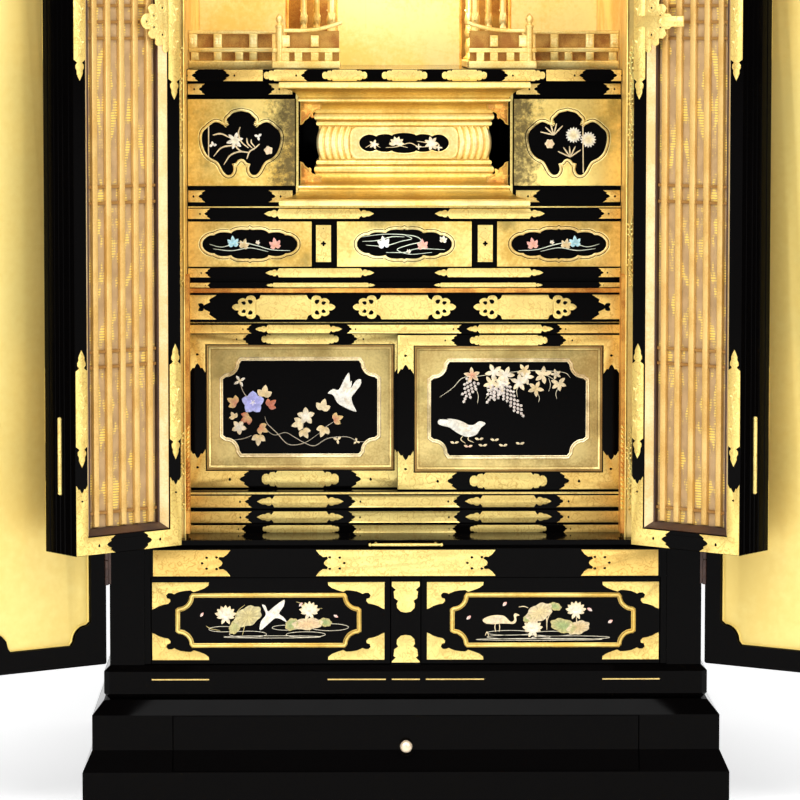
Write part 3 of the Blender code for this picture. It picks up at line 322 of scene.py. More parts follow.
class Wiring:
    """A node tree that is written as calls: each value is a number, a colour or another node's socket."""

    def __init__(self, tree):
        """Keep the tree that the nodes are added to."""
        self.tree = tree

    def add(self, kind, out=0, values=(), **settings):
        """Add a shader node with its settings and its input values by name or index; give its output."""
        node = self.tree.nodes.new("ShaderNode" + kind)
        for key, value in settings.items():
            setattr(node, key, value)
        for key, value in dict(values).items():
            self.feed(node.inputs[key], value)
        return node.outputs[out]

    def feed(self, socket, value):
        """Link a socket, or set its number or colour."""
        if isinstance(value, bpy.types.NodeSocket):
            self.tree.links.new(value, socket)
        else:
            socket.default_value = (*value, 1.0) if socket.type == "RGBA" and len(value) == 3 else value

    def sum(self, a, b, operation="ADD", third=0.0):
        """A Math node."""
        return self.add("Math", values={0: a, 1: b, 2: third}, operation=operation)

    def mix(self, share, a, b, blend="MIX"):
        """A colour mix."""
        return self.add("Mix", 2, {0: share, 6: a, 7: b}, data_type="RGBA", blend_type=blend)

    def noise(self, where, scale, detail=4.0, roughness=0.55):
        """A noise value."""
        return self.add("TexNoise", 0, {"Vector": where, "Scale": scale, "Detail": detail,
                                        "Roughness": roughness})

    def step(self, value, low, high, to_low=0.0, to_high=1.0):
        """A smooth step from one value to another."""
        return self.add("MapRange", 0, {0: value, 1: low, 2: high, 3: to_low, 4: to_high},
                        interpolation_type="SMOOTHSTEP")


def shared(name, inputs, outputs, wire):
    """A shader node group: wire(wiring, input sockets) gives the value of each output."""
    tree = bpy.data.node_groups.new(name, "ShaderNodeTree")
    for label, value in inputs.items():
        kind = "NodeSocketColor" if isinstance(value, tuple) else "NodeSocketFloat"
        socket = tree.interface.new_socket(label, in_out="INPUT", socket_type=kind)
        socket.default_value = (*value, 1.0) if isinstance(value, tuple) else value
    for label in outputs:
        kind = "NodeSocketColor" if label == "Colour" else "NodeSocketFloat"
        tree.interface.new_socket(label, in_out="OUTPUT", socket_type=kind)
    wiring = Wiring(tree)
    entry, leave = tree.nodes.new("NodeGroupInput"), tree.nodes.new("NodeGroupOutput")
    for label, value in wire(wiring, entry.outputs).items():
        wiring.feed(leave.inputs[label], value)
    return tree


def leaf_patches(wiring, given):
    """Cloudy patches and fine grain between two golds, with the faint joints of the leaf squares."""
    where = wiring.add("TexCoord", 3)
    cloudy = wiring.noise(where, given["Patches"], 5.0)
    grain = wiring.noise(where, wiring.sum(given["Patches"], 22.0, "MULTIPLY"), 3.0)
    share = wiring.step(wiring.sum(wiring.sum(cloudy, 0.72, "MULTIPLY"), wiring.sum(grain, 0.28, "MULTIPLY")),
                        0.38, 0.64)
    joint = wiring.add("TexVoronoi", "Distance", {"Vector": where, "Scale": 9.2, "Randomness": 0.22},
                       feature="DISTANCE_TO_EDGE", distance="EUCLIDEAN")
    seam = wiring.step(joint, 0.0, 0.012, 1.0, 0.0)
    colour = wiring.mix(share, given["Pale"], given["Deep"])
    colour = wiring.mix(wiring.sum(seam, 0.16, "MULTIPLY"), colour, given["Deep"])
    return {"Colour": colour, "Rough": wiring.step(share, 0.0, 1.0, 0.34, 0.50),
            "Height": wiring.sum(grain, wiring.sum(seam, -0.5, "MULTIPLY"))}


def engraved_scrolls(wiring, given):
    """Scroll engraving: rings round scattered points, bent by noise and cut as thin grooves."""
    where = wiring.add("TexCoord", 3)
    drift = wiring.add("TexNoise", 1, {"Vector": where, "Scale": given["Scale"], "Detail": 2.0})
    bent = wiring.add("VectorMath", 0, {0: drift, 1: (0.5, 0.5, 0.5)}, operation="SUBTRACT")
    bent = wiring.add("VectorMath", 0, {0: bent, "Scale": 0.012}, operation="SCALE")
    bent = wiring.add("VectorMath", 0, {0: where, 1: bent}, operation="ADD")
    cell = wiring.add("TexVoronoi", "Distance", {"Vector": bent, "Scale": given["Scale"]})
    wave = wiring.sum(wiring.sum(cell, 15.0, "MULTIPLY"), 0.0, "SINE")
    groove = wiring.step(wave, 0.45, 0.95)
    patch = wiring.step(wiring.noise(where, 55.0, 3.0), 0.35, 0.65)
    groove = wiring.sum(groove, wiring.step(patch, 0.0, 1.0, 0.45, 1.0), "MULTIPLY")
    return {"Colour": wiring.mix(wiring.sum(groove, given["Depth"], "MULTIPLY"), given["Ground"],
                                 given["Groove"]),
            "Mask": groove, "Height": wiring.sum(0.0, groove, "SUBTRACT")}


def settled_dust(wiring, given):
    """A thin veil of dust where a surface looks up, broken by noise."""
    facing = wiring.add("SeparateXYZ", 2, {0: wiring.add("NewGeometry", "Normal")})
    speck = wiring.noise(wiring.add("TexCoord", 3), 140.0, 4.0)
    veil = wiring.sum(wiring.step(facing, 0.6, 0.98), wiring.step(speck, 0.35, 0.75), "MULTIPLY")
    veil = wiring.sum(veil, given["Amount"], "MULTIPLY")
    return {"Colour": wiring.mix(veil, given["Surface"], (0.45, 0.42, 0.38)), "Mask": veil}


LEAF = shared("leaf patches", {"Pale": (1.0, 1.0, 1.0), "Deep": (0.5, 0.5, 0.5), "Patches": 8.0},
              ("Colour", "Rough", "Height"), leaf_patches)
SCROLLS = shared("engraved scrolls", {"Ground": (1.0, 1.0, 1.0), "Groove": (0.5, 0.5, 0.5),
                                      "Scale": 120.0, "Depth": 0.6},
                 ("Colour", "Mask", "Height"), engraved_scrolls)
DUST = shared("settled dust", {"Surface": (0.0, 0.0, 0.0), "Amount": 0.05}, ("Colour", "Mask"),
              settled_dust)


def place_group(wiring, tree, **values):
    """A node group in a material, with its values; gives its outputs."""
    node = wiring.tree.nodes.new("ShaderNodeGroup")
    node.node_tree = tree
    for label, value in values.items():
        wiring.feed(node.inputs[label], value)
    return node.outputs


def finish_of(name, wire, bump=0.0, **constants):
    """A Principled finish: wire gives its varying sockets, and a height for its bump."""
    made = bpy.data.materials.new(name)
    made.use_nodes = True
    wiring = Wiring(made.node_tree)
    shader = made.node_tree.nodes["Principled BSDF"]
    for label, value in constants.items():
        wiring.feed(shader.inputs[label.replace("_", " ")], value)
    varying = wire(wiring)
    height = varying.pop("Height", None)
    if height is not None:
        varying["Normal"] = wiring.add("Bump", 0, {"Strength": 0.6, "Distance": bump * MM,
                                                   "Height": height})
    for label, value in varying.items():
        wiring.feed(shader.inputs[label], value)
    return made


def tinted(wiring, colour):
    """The colour multiplied by the piece's own tint."""
    tint = wiring.add("Attribute", 0, attribute_name="tint")
    return wiring.mix(1.0, colour, tint, "MULTIPLY")


def lacquer_look(wiring):
    """Black lacquer: almost no colour of its own, hand-polished unevenly, with a little dust."""
    where = wiring.add("TexCoord", 3)
    ripple = wiring.noise(where, 26.0, 2.0)
    dusty = place_group(wiring, DUST, Surface=(0.0010, 0.0008, 0.0008), Amount=0.003)
    return {"Base Color": dusty["Colour"],
            "Roughness": wiring.sum(wiring.step(ripple, 0.3, 0.7, 0.06, 0.11), dusty["Mask"]),
            "Height": ripple}


def gilt_look(pale, deep, patches, painted_reflection=0.0, solid=False):
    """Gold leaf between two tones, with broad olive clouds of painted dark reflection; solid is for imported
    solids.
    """
    def wire(wiring):
        """Write the nodes of this gold leaf."""
        leaf = place_group(wiring, LEAF, Pale=pale, Deep=deep, Patches=patches)
        colour = leaf["Colour"] if solid else tinted(wiring, leaf["Colour"])
        if painted_reflection:
            # Painted reflection: olive clouds darken the leaf as if it mirrored dark surroundings.
            cloud = wiring.noise(wiring.add("TexCoord", 3), 17.0, 5.0, 0.62)
            share = wiring.step(cloud, 0.50, 0.68, 0.0, painted_reflection)
            colour = wiring.mix(share, colour, (0.20, 0.15, 0.035))
        dusty = place_group(wiring, DUST, Surface=colour, Amount=0.05)
        return {"Base Color": dusty["Colour"], "Roughness": leaf["Rough"], "Height": leaf["Height"]}
    return wire


def side_box_reflection_look(wiring):
    """Gold leaf of the side boxes, with painted dark reflection mottled to olive and brown towards the altar
    platform.
    """
    where = wiring.add("TexCoord", 3)
    leaf = gilt_look((0.92, 0.73, 0.25), (0.62, 0.41, 0.08), 14.0, 0.7)(wiring)
    across = wiring.sum(wiring.add("SeparateXYZ", 0, {0: where}), 0.0, "ABSOLUTE")
    # Painted reflection: the leaf darkens to brown nearer the platform, as if mirroring the dark there.
    near = wiring.step(across, 0.120, 0.172, 1.0, 0.0)
    mottle = wiring.noise(where, 150.0, 6.0, 0.72)
    share = wiring.step(wiring.sum(near, 0.42, "MULTIPLY_ADD", mottle), 0.62, 0.96, 0.0, 0.92)
    leaf["Base Color"] = wiring.mix(share, leaf["Base Color"], (0.085, 0.060, 0.018))
    return leaf


def plate_look(ground, groove, scale, depth):
    """Gilt metal, engraved with scrolls."""
    def wire(wiring):
        """Write the nodes of this engraved plate."""
        cut = place_group(wiring, SCROLLS, Ground=ground, Groove=groove, Scale=scale, Depth=depth)
        leaf = place_group(wiring, LEAF, Pale=cut["Colour"], Deep=groove, Patches=40.0)
        share = wiring.mix(0.30, cut["Colour"], leaf["Colour"])
        return {"Base Color": tinted(wiring, share), "Height": cut["Height"],
                "Roughness": wiring.step(cut["Mask"], 0.0, 1.0, 0.32, 0.50)}
    return wire


def inlay_look(wiring):
    """Shell and raised lacquer: the tint, mottled like nacre, darker in fine veins."""
    where = wiring.add("TexCoord", 3)
    nacre = wiring.step(wiring.noise(where, 260.0, 3.0), 0.3, 0.7, 0.72, 1.08)
    gleam = wiring.step(wiring.noise(where, 900.0, 2.0), 0.3, 0.7, 0.22, 0.42)
    tint = wiring.add("Attribute", 0, attribute_name="tint")
    shade = wiring.add("CombineColor", 0, {0: nacre, 1: nacre, 2: nacre})
    return {"Base Color": wiring.mix(1.0, tint, shade, "MULTIPLY"), "Roughness": gleam,
            "Height": wiring.noise(where, 500.0, 3.0)}


def gauze_look(wiring):
    """Woven gauze on its own UV in millimetres: fine warp and weft, and short golden brocade dashes."""
    uv = wiring.add("UVMap", 0, uv_map="cloth")
    across, up = (wiring.add("SeparateXYZ", k, {0: uv}) for k in (0, 1))
    warp = wiring.sum(wiring.sum(across, 7.0, "MULTIPLY"), 0.0, "SINE")
    weft = wiring.sum(wiring.sum(up, 7.0, "MULTIPLY"), 0.0, "SINE")
    row = wiring.sum(wiring.sum(up, 0.36, "MULTIPLY"), 0.0, "FRACT")
    dash = wiring.step(row, 0.30, 0.42)
    cloudy = wiring.step(wiring.noise(wiring.add("VectorMath", 0, {0: uv, 1: (0.11, 0.035, 1.0)},
                                                 operation="MULTIPLY"), 1.0, 3.0), 0.50, 0.62)
    gold = wiring.sum(wiring.sum(dash, cloudy, "MULTIPLY"), 0.85, "MULTIPLY")
    soft = wiring.step(wiring.noise(uv, 0.05, 3.0), 0.3, 0.7)
    cloth = wiring.mix(soft, (0.34, 0.21, 0.085), (0.45, 0.29, 0.13))
    weave = wiring.sum(wiring.sum(warp, weft, "MULTIPLY"), 0.5, "MULTIPLY", 0.5)
    return {"Base Color": wiring.mix(gold, cloth, (0.95, 0.70, 0.13)),
            "Metallic": wiring.sum(gold, 0.5, "MULTIPLY"), "Height": wiring.sum(weave, gold)}


PALE, AMBER = (0.88, 0.70, 0.235), (0.50, 0.28, 0.05)
LACQUER = finish_of("black lacquer", lacquer_look, 0.02, Specular_IOR_Level=0.035)
# The fourth value given to gilt_look sets how strongly olive clouds of painted dark reflection darken the
# leaf.
GOLD = finish_of("gold leaf", gilt_look((0.93, 0.73, 0.22), (0.68, 0.44, 0.08), 9.0), 0.03, Metallic=0.55)
BOX_GOLD = finish_of("small drawer leaf", gilt_look((0.92, 0.73, 0.25), (0.58, 0.38, 0.08), 14.0, 0.75), 0.03,
                     Metallic=0.65)
# The side boxes' leaf, with painted dark reflection towards the platform.
SIDE_GOLD = finish_of("side box leaf with painted reflection", side_box_reflection_look, 0.03, Metallic=0.65)
GILT = finish_of("gilt moulding", gilt_look((0.93, 0.70, 0.22), (0.72, 0.45, 0.09), 16.0, 0.30), 0.04,
                 Metallic=0.72)
# Painted shade: gold leaf darkened to brown, as gilding looks where shadow falls.
SHADED_GILT = finish_of("gilding in painted shade", gilt_look((0.80, 0.42, 0.08), (0.42, 0.15, 0.02), 45.0), 0.12,
                  Metallic=0.6)
OLIVE_GOLD = finish_of("olive gold leaf", gilt_look((0.68, 0.53, 0.20), (0.42, 0.29, 0.09), 20.0, 0.55), 0.05,
                       Metallic=0.6)
PANEL_GOLD = finish_of("door panel leaf", gilt_look((0.80, 0.63, 0.20), (0.75, 0.56, 0.155), 5.0), 0.02,
                       Metallic=0.30)
WALL_GILT = finish_of("inner wall gilding",
                      gilt_look((0.95, 0.66, 0.20), (0.80, 0.45, 0.09), 12.0, 0.2, True), 0.05, Metallic=0.4)
PLATE = finish_of("engraved gilt metal", plate_look(PALE, AMBER, 125.0, 0.55), 0.10, Metallic=0.55)
BACK_GOLD = finish_of("shrine wall leaf", gilt_look((0.96, 0.80, 0.38), (0.84, 0.60, 0.16), 9.0, 0.0, True),
                      0.03, Metallic=0.35)
INLAY = finish_of("shell and colour inlay", inlay_look, 0.04, Coat_Weight=0.3)
GAUZE = finish_of("gold brocade gauze", gauze_look, 0.05, Roughness=0.55, Sheen_Weight=0.15)
RIB = finish_of("lattice ribs", gilt_look((0.72, 0.49, 0.17), (0.58, 0.35, 0.09), 25.0), 0.03, Metallic=0.45)
RAIL_GILT = finish_of("railing gilt", gilt_look((0.90, 0.72, 0.28), (0.66, 0.42, 0.09), 25.0), 0.03,
                      Metallic=0.6)
BROWN_LACQUER = finish_of("red-brown lacquer",
                          gilt_look((0.055, 0.020, 0.010), (0.028, 0.010, 0.006), 35.0), 0.04, Metallic=0.0)
KNOB = finish_of("pale turned brass", gilt_look((0.88, 0.76, 0.58), (0.66, 0.50, 0.32), 60.0), 0.03,
                 Metallic=0.6)


def wear(nodes, finish):
    """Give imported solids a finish."""
    for node in nodes:
        obj = frame["nodes"][node]
        obj.data.materials.clear()
        obj.data.materials.append(finish)


# Light, floor and camera

def soft_box(name, at, aim, wide, tall, watts, colour=(1, 1, 1)):
    """A soft rectangular light that looks at a point."""
    light = bpy.data.lights.new(name, "AREA")
    light.shape, light.size, light.size_y, light.energy, light.color = "RECTANGLE", wide, tall, watts, colour
    obj = bpy.data.objects.new(name, light)
    ahead = np.array(aim, float) - at
    obj.location = at
    obj.rotation_euler = (math.acos(-ahead[2] / np.linalg.norm(ahead)), 0,
                          math.atan2(-ahead[0], ahead[1]))
    bpy.context.scene.collection.objects.link(obj)


def build_stage():
    """A white floor under a white sky, soft boxes beside and overhead, the shrine's lamp and the camera."""
    scene = bpy.context.scene
    scene.view_settings.view_transform = "Standard"
    world = bpy.data.worlds.new("white studio")
    world.use_nodes = True
    scene.world = world
    wiring = Wiring(world.node_tree)
    direct = wiring.add("LightPath", "Is Camera Ray")
    background = world.node_tree.nodes["Background"]
    wiring.feed(background.inputs["Color"], (1.0, 1.0, 1.0))
    wiring.feed(background.inputs["Strength"], wiring.step(direct, 0.0, 1.0, 0.33, 1.0))

    def floor_look(wires):
        """White paper, glowing a little so that it stays white."""
        speck = wires.noise(wires.add("TexCoord", 3), 3.0, 2.0)
        shade = wires.step(speck, 0.3, 0.7, 0.93, 0.96)
        return {"Base Color": wires.add("CombineColor", 0, {0: shade, 1: shade, 2: shade})}
    paper = finish_of("pale studio floor", floor_look, Roughness=0.9, Emission_Color=(1, 1, 1),
                      Emission_Strength=0.60)
    mesh = bpy.data.meshes.new("floor")
    mesh.from_pydata([(-30, -30, 0), (30, -30, 0), (30, 30, 0), (-30, 30, 0)], [], [(0, 1, 2, 3)])
    mesh.materials.append(paper)
    floor = bpy.data.objects.new("floor", mesh)
    scene.collection.objects.link(floor)

    for side, sign in SIDES:
        soft_box(f"{side} soft box", (2.3 * sign, -3.0, 2.2), (0, -0.1, 0.7), 1.8, 2.6, 75)
    soft_box("overhead soft box", (0, -2.2, 3.4), (0, 0, 0.7), 2.8, 1.6, 70)
    soft_box("shrine lamp", (0, -0.02, 1.03), (0, 0.24, 0.86), 0.12, 0.08, 1.7, (1.0, 0.94, 0.80))

    camera = bpy.data.cameras.new("camera")
    camera.lens, (camera.shift_x, camera.shift_y) = CAMERA_LENS, CAMERA_SHIFT
    eye = bpy.data.objects.new("camera", camera)
    eye.location = CAMERA_AT
    eye.rotation_euler = (math.radians(90 - CAMERA_DOWN_DEG), 0, math.radians(-CAMERA_RIGHT_DEG))
    scene.collection.objects.link(eye)
    scene.camera = eye


# Fittings

def warmth(x):
    """The gilding turns from pale yellow at the middle to orange beside the jambs."""
    share = np.clip((abs(x) - 90) / 110, 0, 1)
    return 1 - np.array([0.05, 0.20, 0.38]) * share


def drop(piece, face, x, z, size, heading=0.0, height=0.9):
    """A small pierced hole, shown as a dark drop flush with its plate."""
    turn = np.linspace(0, 2 * math.pi, 10, endpoint=False)
    shape = np.stack([np.cos(turn), np.sin(turn) * np.sin(turn / 2) ** 0.8], 1) * size
    ahead = math.radians(heading)
    spin = np.array([[math.cos(ahead), math.sin(ahead)], [-math.sin(ahead), math.cos(ahead)]])
    piece.slab(face.raised(height), shape @ spin + (x, z), [(0, -0.05), (0, 0.03)], finish=1)


def bar_plate(piece, face, x0, x1, z0, z1, left="square", right="square", thick=0.9, tint=None):
    """A bar plate with the holes that go with its ends."""
    tall, middle = z1 - z0, (z0 + z1) / 2
    if tint is None:
        tint = warmth((x0 + x1) / 2)
    piece.plate(face, bar(x0, x1, z0, z1, left, right), thick, tint=tint)
    for kind, tip, inward in ((left, x0, 1), (right, x1, -1)):
        if kind == "fork":
            drop(piece, face, tip + inward * 1.0 * tall, middle, 0.11 * tall, 90, thick)
        if kind == "bud":
            for out, up in ((0.52, 0.22), (0.90, 0.21), (1.07, 0.0), (0.90, -0.21), (0.52, -0.22)):
                drop(piece, face, tip + inward * out * tall, middle + up * tall, 0.060 * tall,
                     90 + 90 * inward, thick)


def row(piece, face, z0, z1, plates, thick=0.9):
    """Plates along a rail: each (x0, x1, left end, right end) right of the middle is mirrored."""
    for x0, x1, left, right in plates:
        bar_plate(piece, face, x0, x1, z0, z1, left, right, thick)
        if x0 > 0:
            bar_plate(piece, face, -x1, -x0, z0, z1, right, left, thick)


def post_plate(piece, face, x0, x1, z0, z1, low="square", high="square", tint=(1, 1, 1), thick=0.9):
    """An upright bar plate."""
    outline = bar(z0, z1, -x1, -x0, low, high)
    piece.plate(face, outline[:, ::-1] * (-1, 1), thick, tint=tint)


def corner_plate(piece, face, corner, wide, tall, leg_wide, leg_tall, turn, tint=(1, 1, 1)):
    """A forked corner plate with a hole by each fork; turn gives its signs along and up."""
    outline = angle_plate(wide, tall, leg_wide, leg_tall) * turn + corner
    piece.plate(face, outline, 0.9, tint=tint)
    for x, z, size, heading in ((wide - 1.15 * leg_tall, leg_tall / 2, leg_tall, 90),
                                (leg_wide / 2, tall - 1.15 * leg_wide, leg_wide, 0)):
        drop(piece, face, x * turn[0] + corner[0], z * turn[1] + corner[1], 0.10 * size, heading)


# The scalloped corner plate of a lower drawer, from its outer corner
SCALLOP = np.array([(60.8, 0), (60.4, 3.4), (56.3, 6.4), (50.1, 8.8), (44.4, 10.6), (41.2, 8.7),
                    (35.9, 9.0), (29.7, 10.0), (25.8, 11.6), (23.5, 12.8), (20.8, 11.6), (17.2, 11.6),
                    (14.9, 14.0), (16.0, 17.2), (19.2, 18.1), (19.5, 20.6), (17.2, 23.2), (11.9, 24.2),
                    (6.6, 26.0), (3.0, 28.2), (0, 29.3)])


# Inlaid pictures

WHITE, CREAM, STRAW = (0.74, 0.70, 0.60), (0.70, 0.56, 0.33), (0.56, 0.45, 0.17)
LEAF_GREEN, RUST, VIOLET = (0.30, 0.38, 0.12), (0.42, 0.10, 0.04), (0.28, 0.27, 0.66)
ROSE, VINE = (0.74, 0.36, 0.30), (0.42, 0.36, 0.26)


def blossom(piece, face, x, z, reach, petals, tint, tip=None, start=0.0, spread=360.0, wide=0.55):
    """Petals fanned evenly round a point, each lifted a little more than the one before."""
    for k in range(petals):
        heading = start + spread * k / (petals if spread == 360 else petals - 1)
        piece.petal(face, (x, z), reach, reach * wide, heading, tint, tip, lift=0.35 + 0.05 * (k % 3))


def lotus(piece, face, x, z, size):
    """A water lily seen from the side: a back fan, a front fan and a low collar."""
    blossom(piece, face, x, z, size, 7, WHITE, CREAM, 15, 150, 0.42)
    blossom(piece, face, x, z, size * 0.72, 5, CREAM, WHITE, 40, 100, 0.50)
    blossom(piece, face, x, z, size * 0.80, 4, WHITE, CREAM, 190, 160, 0.40)


def pad_leaf(piece, face, x, z, half_x, half_z, lean, tint, rim):
    """A lotus leaf: a disc with a waved edge, dished to its middle and ribbed outwards."""
    u, v = np.meshgrid(np.linspace(0.04, 1, 6), np.linspace(0, 2 * math.pi, 37)[:-1], indexing="ij")
    radius = u * (1 + 0.07 * np.sin(7 * v) * u ** 2)
    turn = math.radians(lean)
    spin = np.array([[math.cos(turn), math.sin(turn)], [-math.sin(turn), math.cos(turn)]])
    flat = np.stack([radius * np.cos(v) * half_x, radius * np.sin(v) * half_z], -1) @ spin + (x, z)
    height = 0.25 + 0.35 * u ** 2 + 0.10 * np.cos(14 * v) * u
    shade = np.asarray(tint) + (np.asarray(rim) - tint) * (u ** 2)[..., None]
    shade = shade * (0.82 + 0.18 * np.cos(14 * v))[..., None]
    rings = np.concatenate([face.at(flat[:1], 0.0), face.at(flat, height), face.at(flat[-1:], 0.0)])
    shade = np.concatenate([shade[:1], shade, shade[-1:]])
    piece.loft(rings[1:], tint=shade[1:].reshape(-1, 3))


def maple(piece, face, x, z, size, heading, tint, tip):
    """A maple leaf: five pointed lobes round its stalk, the middle one longest."""
    for k, reach in ((-2, 0.55), (-1, 0.85), (0, 1.0), (1, 0.85), (2, 0.55)):
        piece.petal(face, (x, z), size * reach, size * 0.42, heading + 42 * k, tint, tip, 0.3, 0.45)


# Outlines of birds in millimetres, from the beak over the back and round
FLYING_BIRD = [(-16.7, 0), (-10.7, 4.6), (-4.6, 3.8), (0.7, 13.9), (6.7, 22.6), (8.1, 10.2), (9, 6.1),
               (14.1, 13.6), (19.4, 15.4), (19.7, 9.6), (13.9, 1.4), (9.6, -4.9), (11.3, -12.8),
               (14.8, -20.6), (3.5, -16.5), (-5.8, -11), (-9.6, -3.8), (-12.5, -1.2)]
STANDING_BIRD = [(26.1, 5.8), (19.4, 8.4), (12.2, 4.1), (0, 5.8), (-11.6, 9.3), (-23.8, 10.4), (-26.4, 6.7),
                 (-22.9, 3.8), (-13, 1.2), (-4.9, -4.6), (5.8, -9), (15.9, -6.4), (20.9, 0.9)]
FLYING_CRANE = [(-10.8, 11.0), (-7.0, 9.3), (-4.6, 3.4), (1.4, 8.2), (12.8, 16.1), (12.2, 9.0), (7.4, 1.4),
                (12.0, -2.6), (15.7, -8.4), (9.3, -5.0), (3.1, -4.0), (-3.6, -9.6), (-13.2, -17.0),
                (-12.2, -7.4), (-7.0, -0.4), (-8.8, 5.8), (-10.2, 8.6)]
STANDING_CRANE = [(25.0, 5.0), (20.8, 7.2), (18.6, 5.4), (19.2, 0.4), (15.4, -2.0), (9.0, 4.0), (2.0, 5.2),
                  (-7.0, 4.4), (-14.4, 0.8), (-13.0, -2.8), (-4.4, -4.6), (3.6, -4.0), (11.6, -4.0),
                  (18.6, -4.2), (21.6, -1.0), (21.4, 3.8)]


def silhouette(piece, face, x, z, outline, tint, feathers=()):
    """A bird cut from shell: its outline with an eased edge, and long feathers laid over it."""
    piece.plate(face, curve(np.array(outline) + (x, z), 3, True), 0.6, 0.3, tint=tint)
    for dx, dz, length, width, heading in feathers:
        piece.petal(face.raised(0.5), (x + dx, z + dz), length, width, heading, (0.62, 0.52, 0.36), tint, 0.3)


def ripples(piece, face, rings, width=0.55):
    """Water: flat ellipses drawn as fine pale lines."""
    turn = np.linspace(0, 2 * math.pi, 48, endpoint=False)
    for x, z, half_x, half_z in rings:
        loop = np.stack([x + half_x * np.cos(turn), z + half_z * np.sin(turn)], 1)
        piece.tube(face.at(loop, 0.12), width / 2, face.axes[2], 6, 0.5, (0.62, 0.56, 0.42), closed=True)


# Plinth, lower drawers and tray

def build_lower_fittings():
    """Pale strips on the sill that are painted reflections, plates on the drawer rail and on the stile
    between the drawers.
    """
    piece = Piece("lower_fittings")
    sill = front_face("body_sill")
    # Painted reflection: short pale strips along the sill stand for glints of light on it.
    for x0, x1 in ((211, 272.5), (-272.5, -211), (21.5, 84), (-84, -21.5), (-15, 15)):
        piece.plate(sill, rectangle(x0, 144.9, x1, 146.3), 0.5, 0.2, tint=(0.85, 0.80, 0.85))
    rail = front_face("drawer_rail")
    row(piece, rail, 256.4, 284.6, ((-96.4, 96.4, "bud", "bud"), (188, 271, "bud", "square")), 0.5)
    stile = front_face("drawer_stile")
    post_plate(piece, stile, -15, 15, 216.8, 250.2, low="lobes", thick=0.5)
    post_plate(piece, stile, -15, 15, 162.6, 192.6, high="lobes", thick=0.5)
    piece.build("cabinet", [PLATE, LACQUER], "gold_plate")


def flying_crane_picture(piece, face, x, z):
    """Water lilies, a crane over ripples and fallen petals, in the field of a lower drawer."""
    def at(dx, dz):
        """The place that lies (dx, dz) from the picture's middle."""
        return x + dx, z + dz

    ripples(piece, face, [(*at(-49, -9.5), 15, 2.9), (*at(-22, -15), 20, 3.3), (*at(18, -8), 14, 2.7),
                          (*at(40, -15.5), 21, 3.0), (*at(66, -7.6), 20, 3.8), (*at(4, -18.0), 52, 1.2)])
    for stem in (((-35, -14), (-36, 0), (-33, 10), (-25, 17)), ((-52, -11), (-62, -9), (-67, -6)),
                 ((-28, -16), (-26, -8), (-24, 0)), ((44, -12), (45, 0), (50, 11), (58, 13)),
                 ((30, 20), (38, 17), (43, 10))):
        piece.stroke(face, [at(*p) for p in stem], 0.7, STRAW)
    lotus(piece, face, *at(-46, 4.5), 12.0)
    lotus(piece, face, *at(44, 9.0), 11.5)
    pad_leaf(piece, face, *at(-22, 4.5), 15.5, 10.0, 28, STRAW, (0.58, 0.50, 0.24))
    pad_leaf(piece, face, *at(-36, -7.0), 8.5, 5.5, 60, (0.45, 0.44, 0.16), STRAW)
    pad_leaf(piece, face, *at(42, -4.0), 16.5, 6.2, 4, (0.76, 0.50, 0.24), CREAM)
    pad_leaf(piece, face, *at(25, -4.5), 7.5, 6.0, 40, LEAF_GREEN, STRAW)
    pad_leaf(piece, face, *at(61, -2.2), 7.0, 4.6, -10, LEAF_GREEN, STRAW)
    for dx, dz, heading in ((-73, 4, 55), (33, 15, 50), (70, 5.5, -25)):
        piece.petal(face, at(dx, dz), 5.5, 2.6, heading, WHITE, ROSE)
    silhouette(piece, face, *at(4.1, 6.2), FLYING_CRANE, WHITE,
               ((0, 1, 13, 3, 50), (1, 0, 12, 3, 36), (-4, -1, 15, 3, 240), (-2, -2, 12, 3, 228)))


def standing_crane_picture(piece, face, x, z):
    """A crane wading among lotus leaves and two flowers, over ripples, in the other lower drawer."""
    def at(dx, dz):
        """The place that lies (dx, dz) from the picture's middle."""
        return x + dx, z + dz

    ripples(piece, face, [(*at(-36, -14.0), 24, 2.6), (*at(-26, -18.5), 34, 2.2), (*at(10, -15.0), 22, 2.6),
                          (*at(30, -19.2), 42, 1.8), (*at(-4, -21.2), 68, 1.0)])
    for stem in (((-51, -4), (-51.6, -8), (-50.6, -13)), ((-47, -4), (-46.4, -8), (-47, -13)),
                 ((2, 6), (4, 0), (4.4, -11)), ((9, 8), (5.4, 2), (4.2, -6)), ((36, 3), (36.4, -2), (36, -6)),
                 ((-62, -17), (-60, -13), (-58, -18)), ((-26, 14), (-20, 14.6), (-16, 13))):
        piece.stroke(face, [at(*p) for p in stem], 1.0, CREAM)
    silhouette(piece, face, *at(-50, 0), STANDING_CRANE, CREAM,
               ((6, 2, 18, 3.4, 186), (4, -0.5, 16, 3, 192), (8, 3.4, 12, 3, 176)))
    pad_leaf(piece, face, *at(-4, 8), 15.0, 9.0, 26, (0.70, 0.54, 0.24), CREAM)
    pad_leaf(piece, face, *at(13, 14.6), 7.0, 4.2, -16, LEAF_GREEN, STRAW)
    pad_leaf(piece, face, *at(-16.5, 1.6), 5.0, 4.0, 40, LEAF_GREEN, STRAW)
    pad_leaf(piece, face, *at(22, -6.5), 14.0, 7.5, -14, LEAF_GREEN, STRAW)
    pad_leaf(piece, face, *at(38, -8.5), 12.5, 7.0, 16, (0.62, 0.44, 0.18), CREAM)
    lotus(piece, face, *at(35.5, 9.0), 11.5)
    lotus(piece, face, *at(-11, -10.5), 11.5)
    for dx, dz, heading in ((-82, 0.7, 40), (-43, 15, 50), (53, 9.7, 150), (70, -3.3, 30)):
        piece.petal(face, at(dx, dz), 6.0, 3.2, heading, WHITE, ROSE)


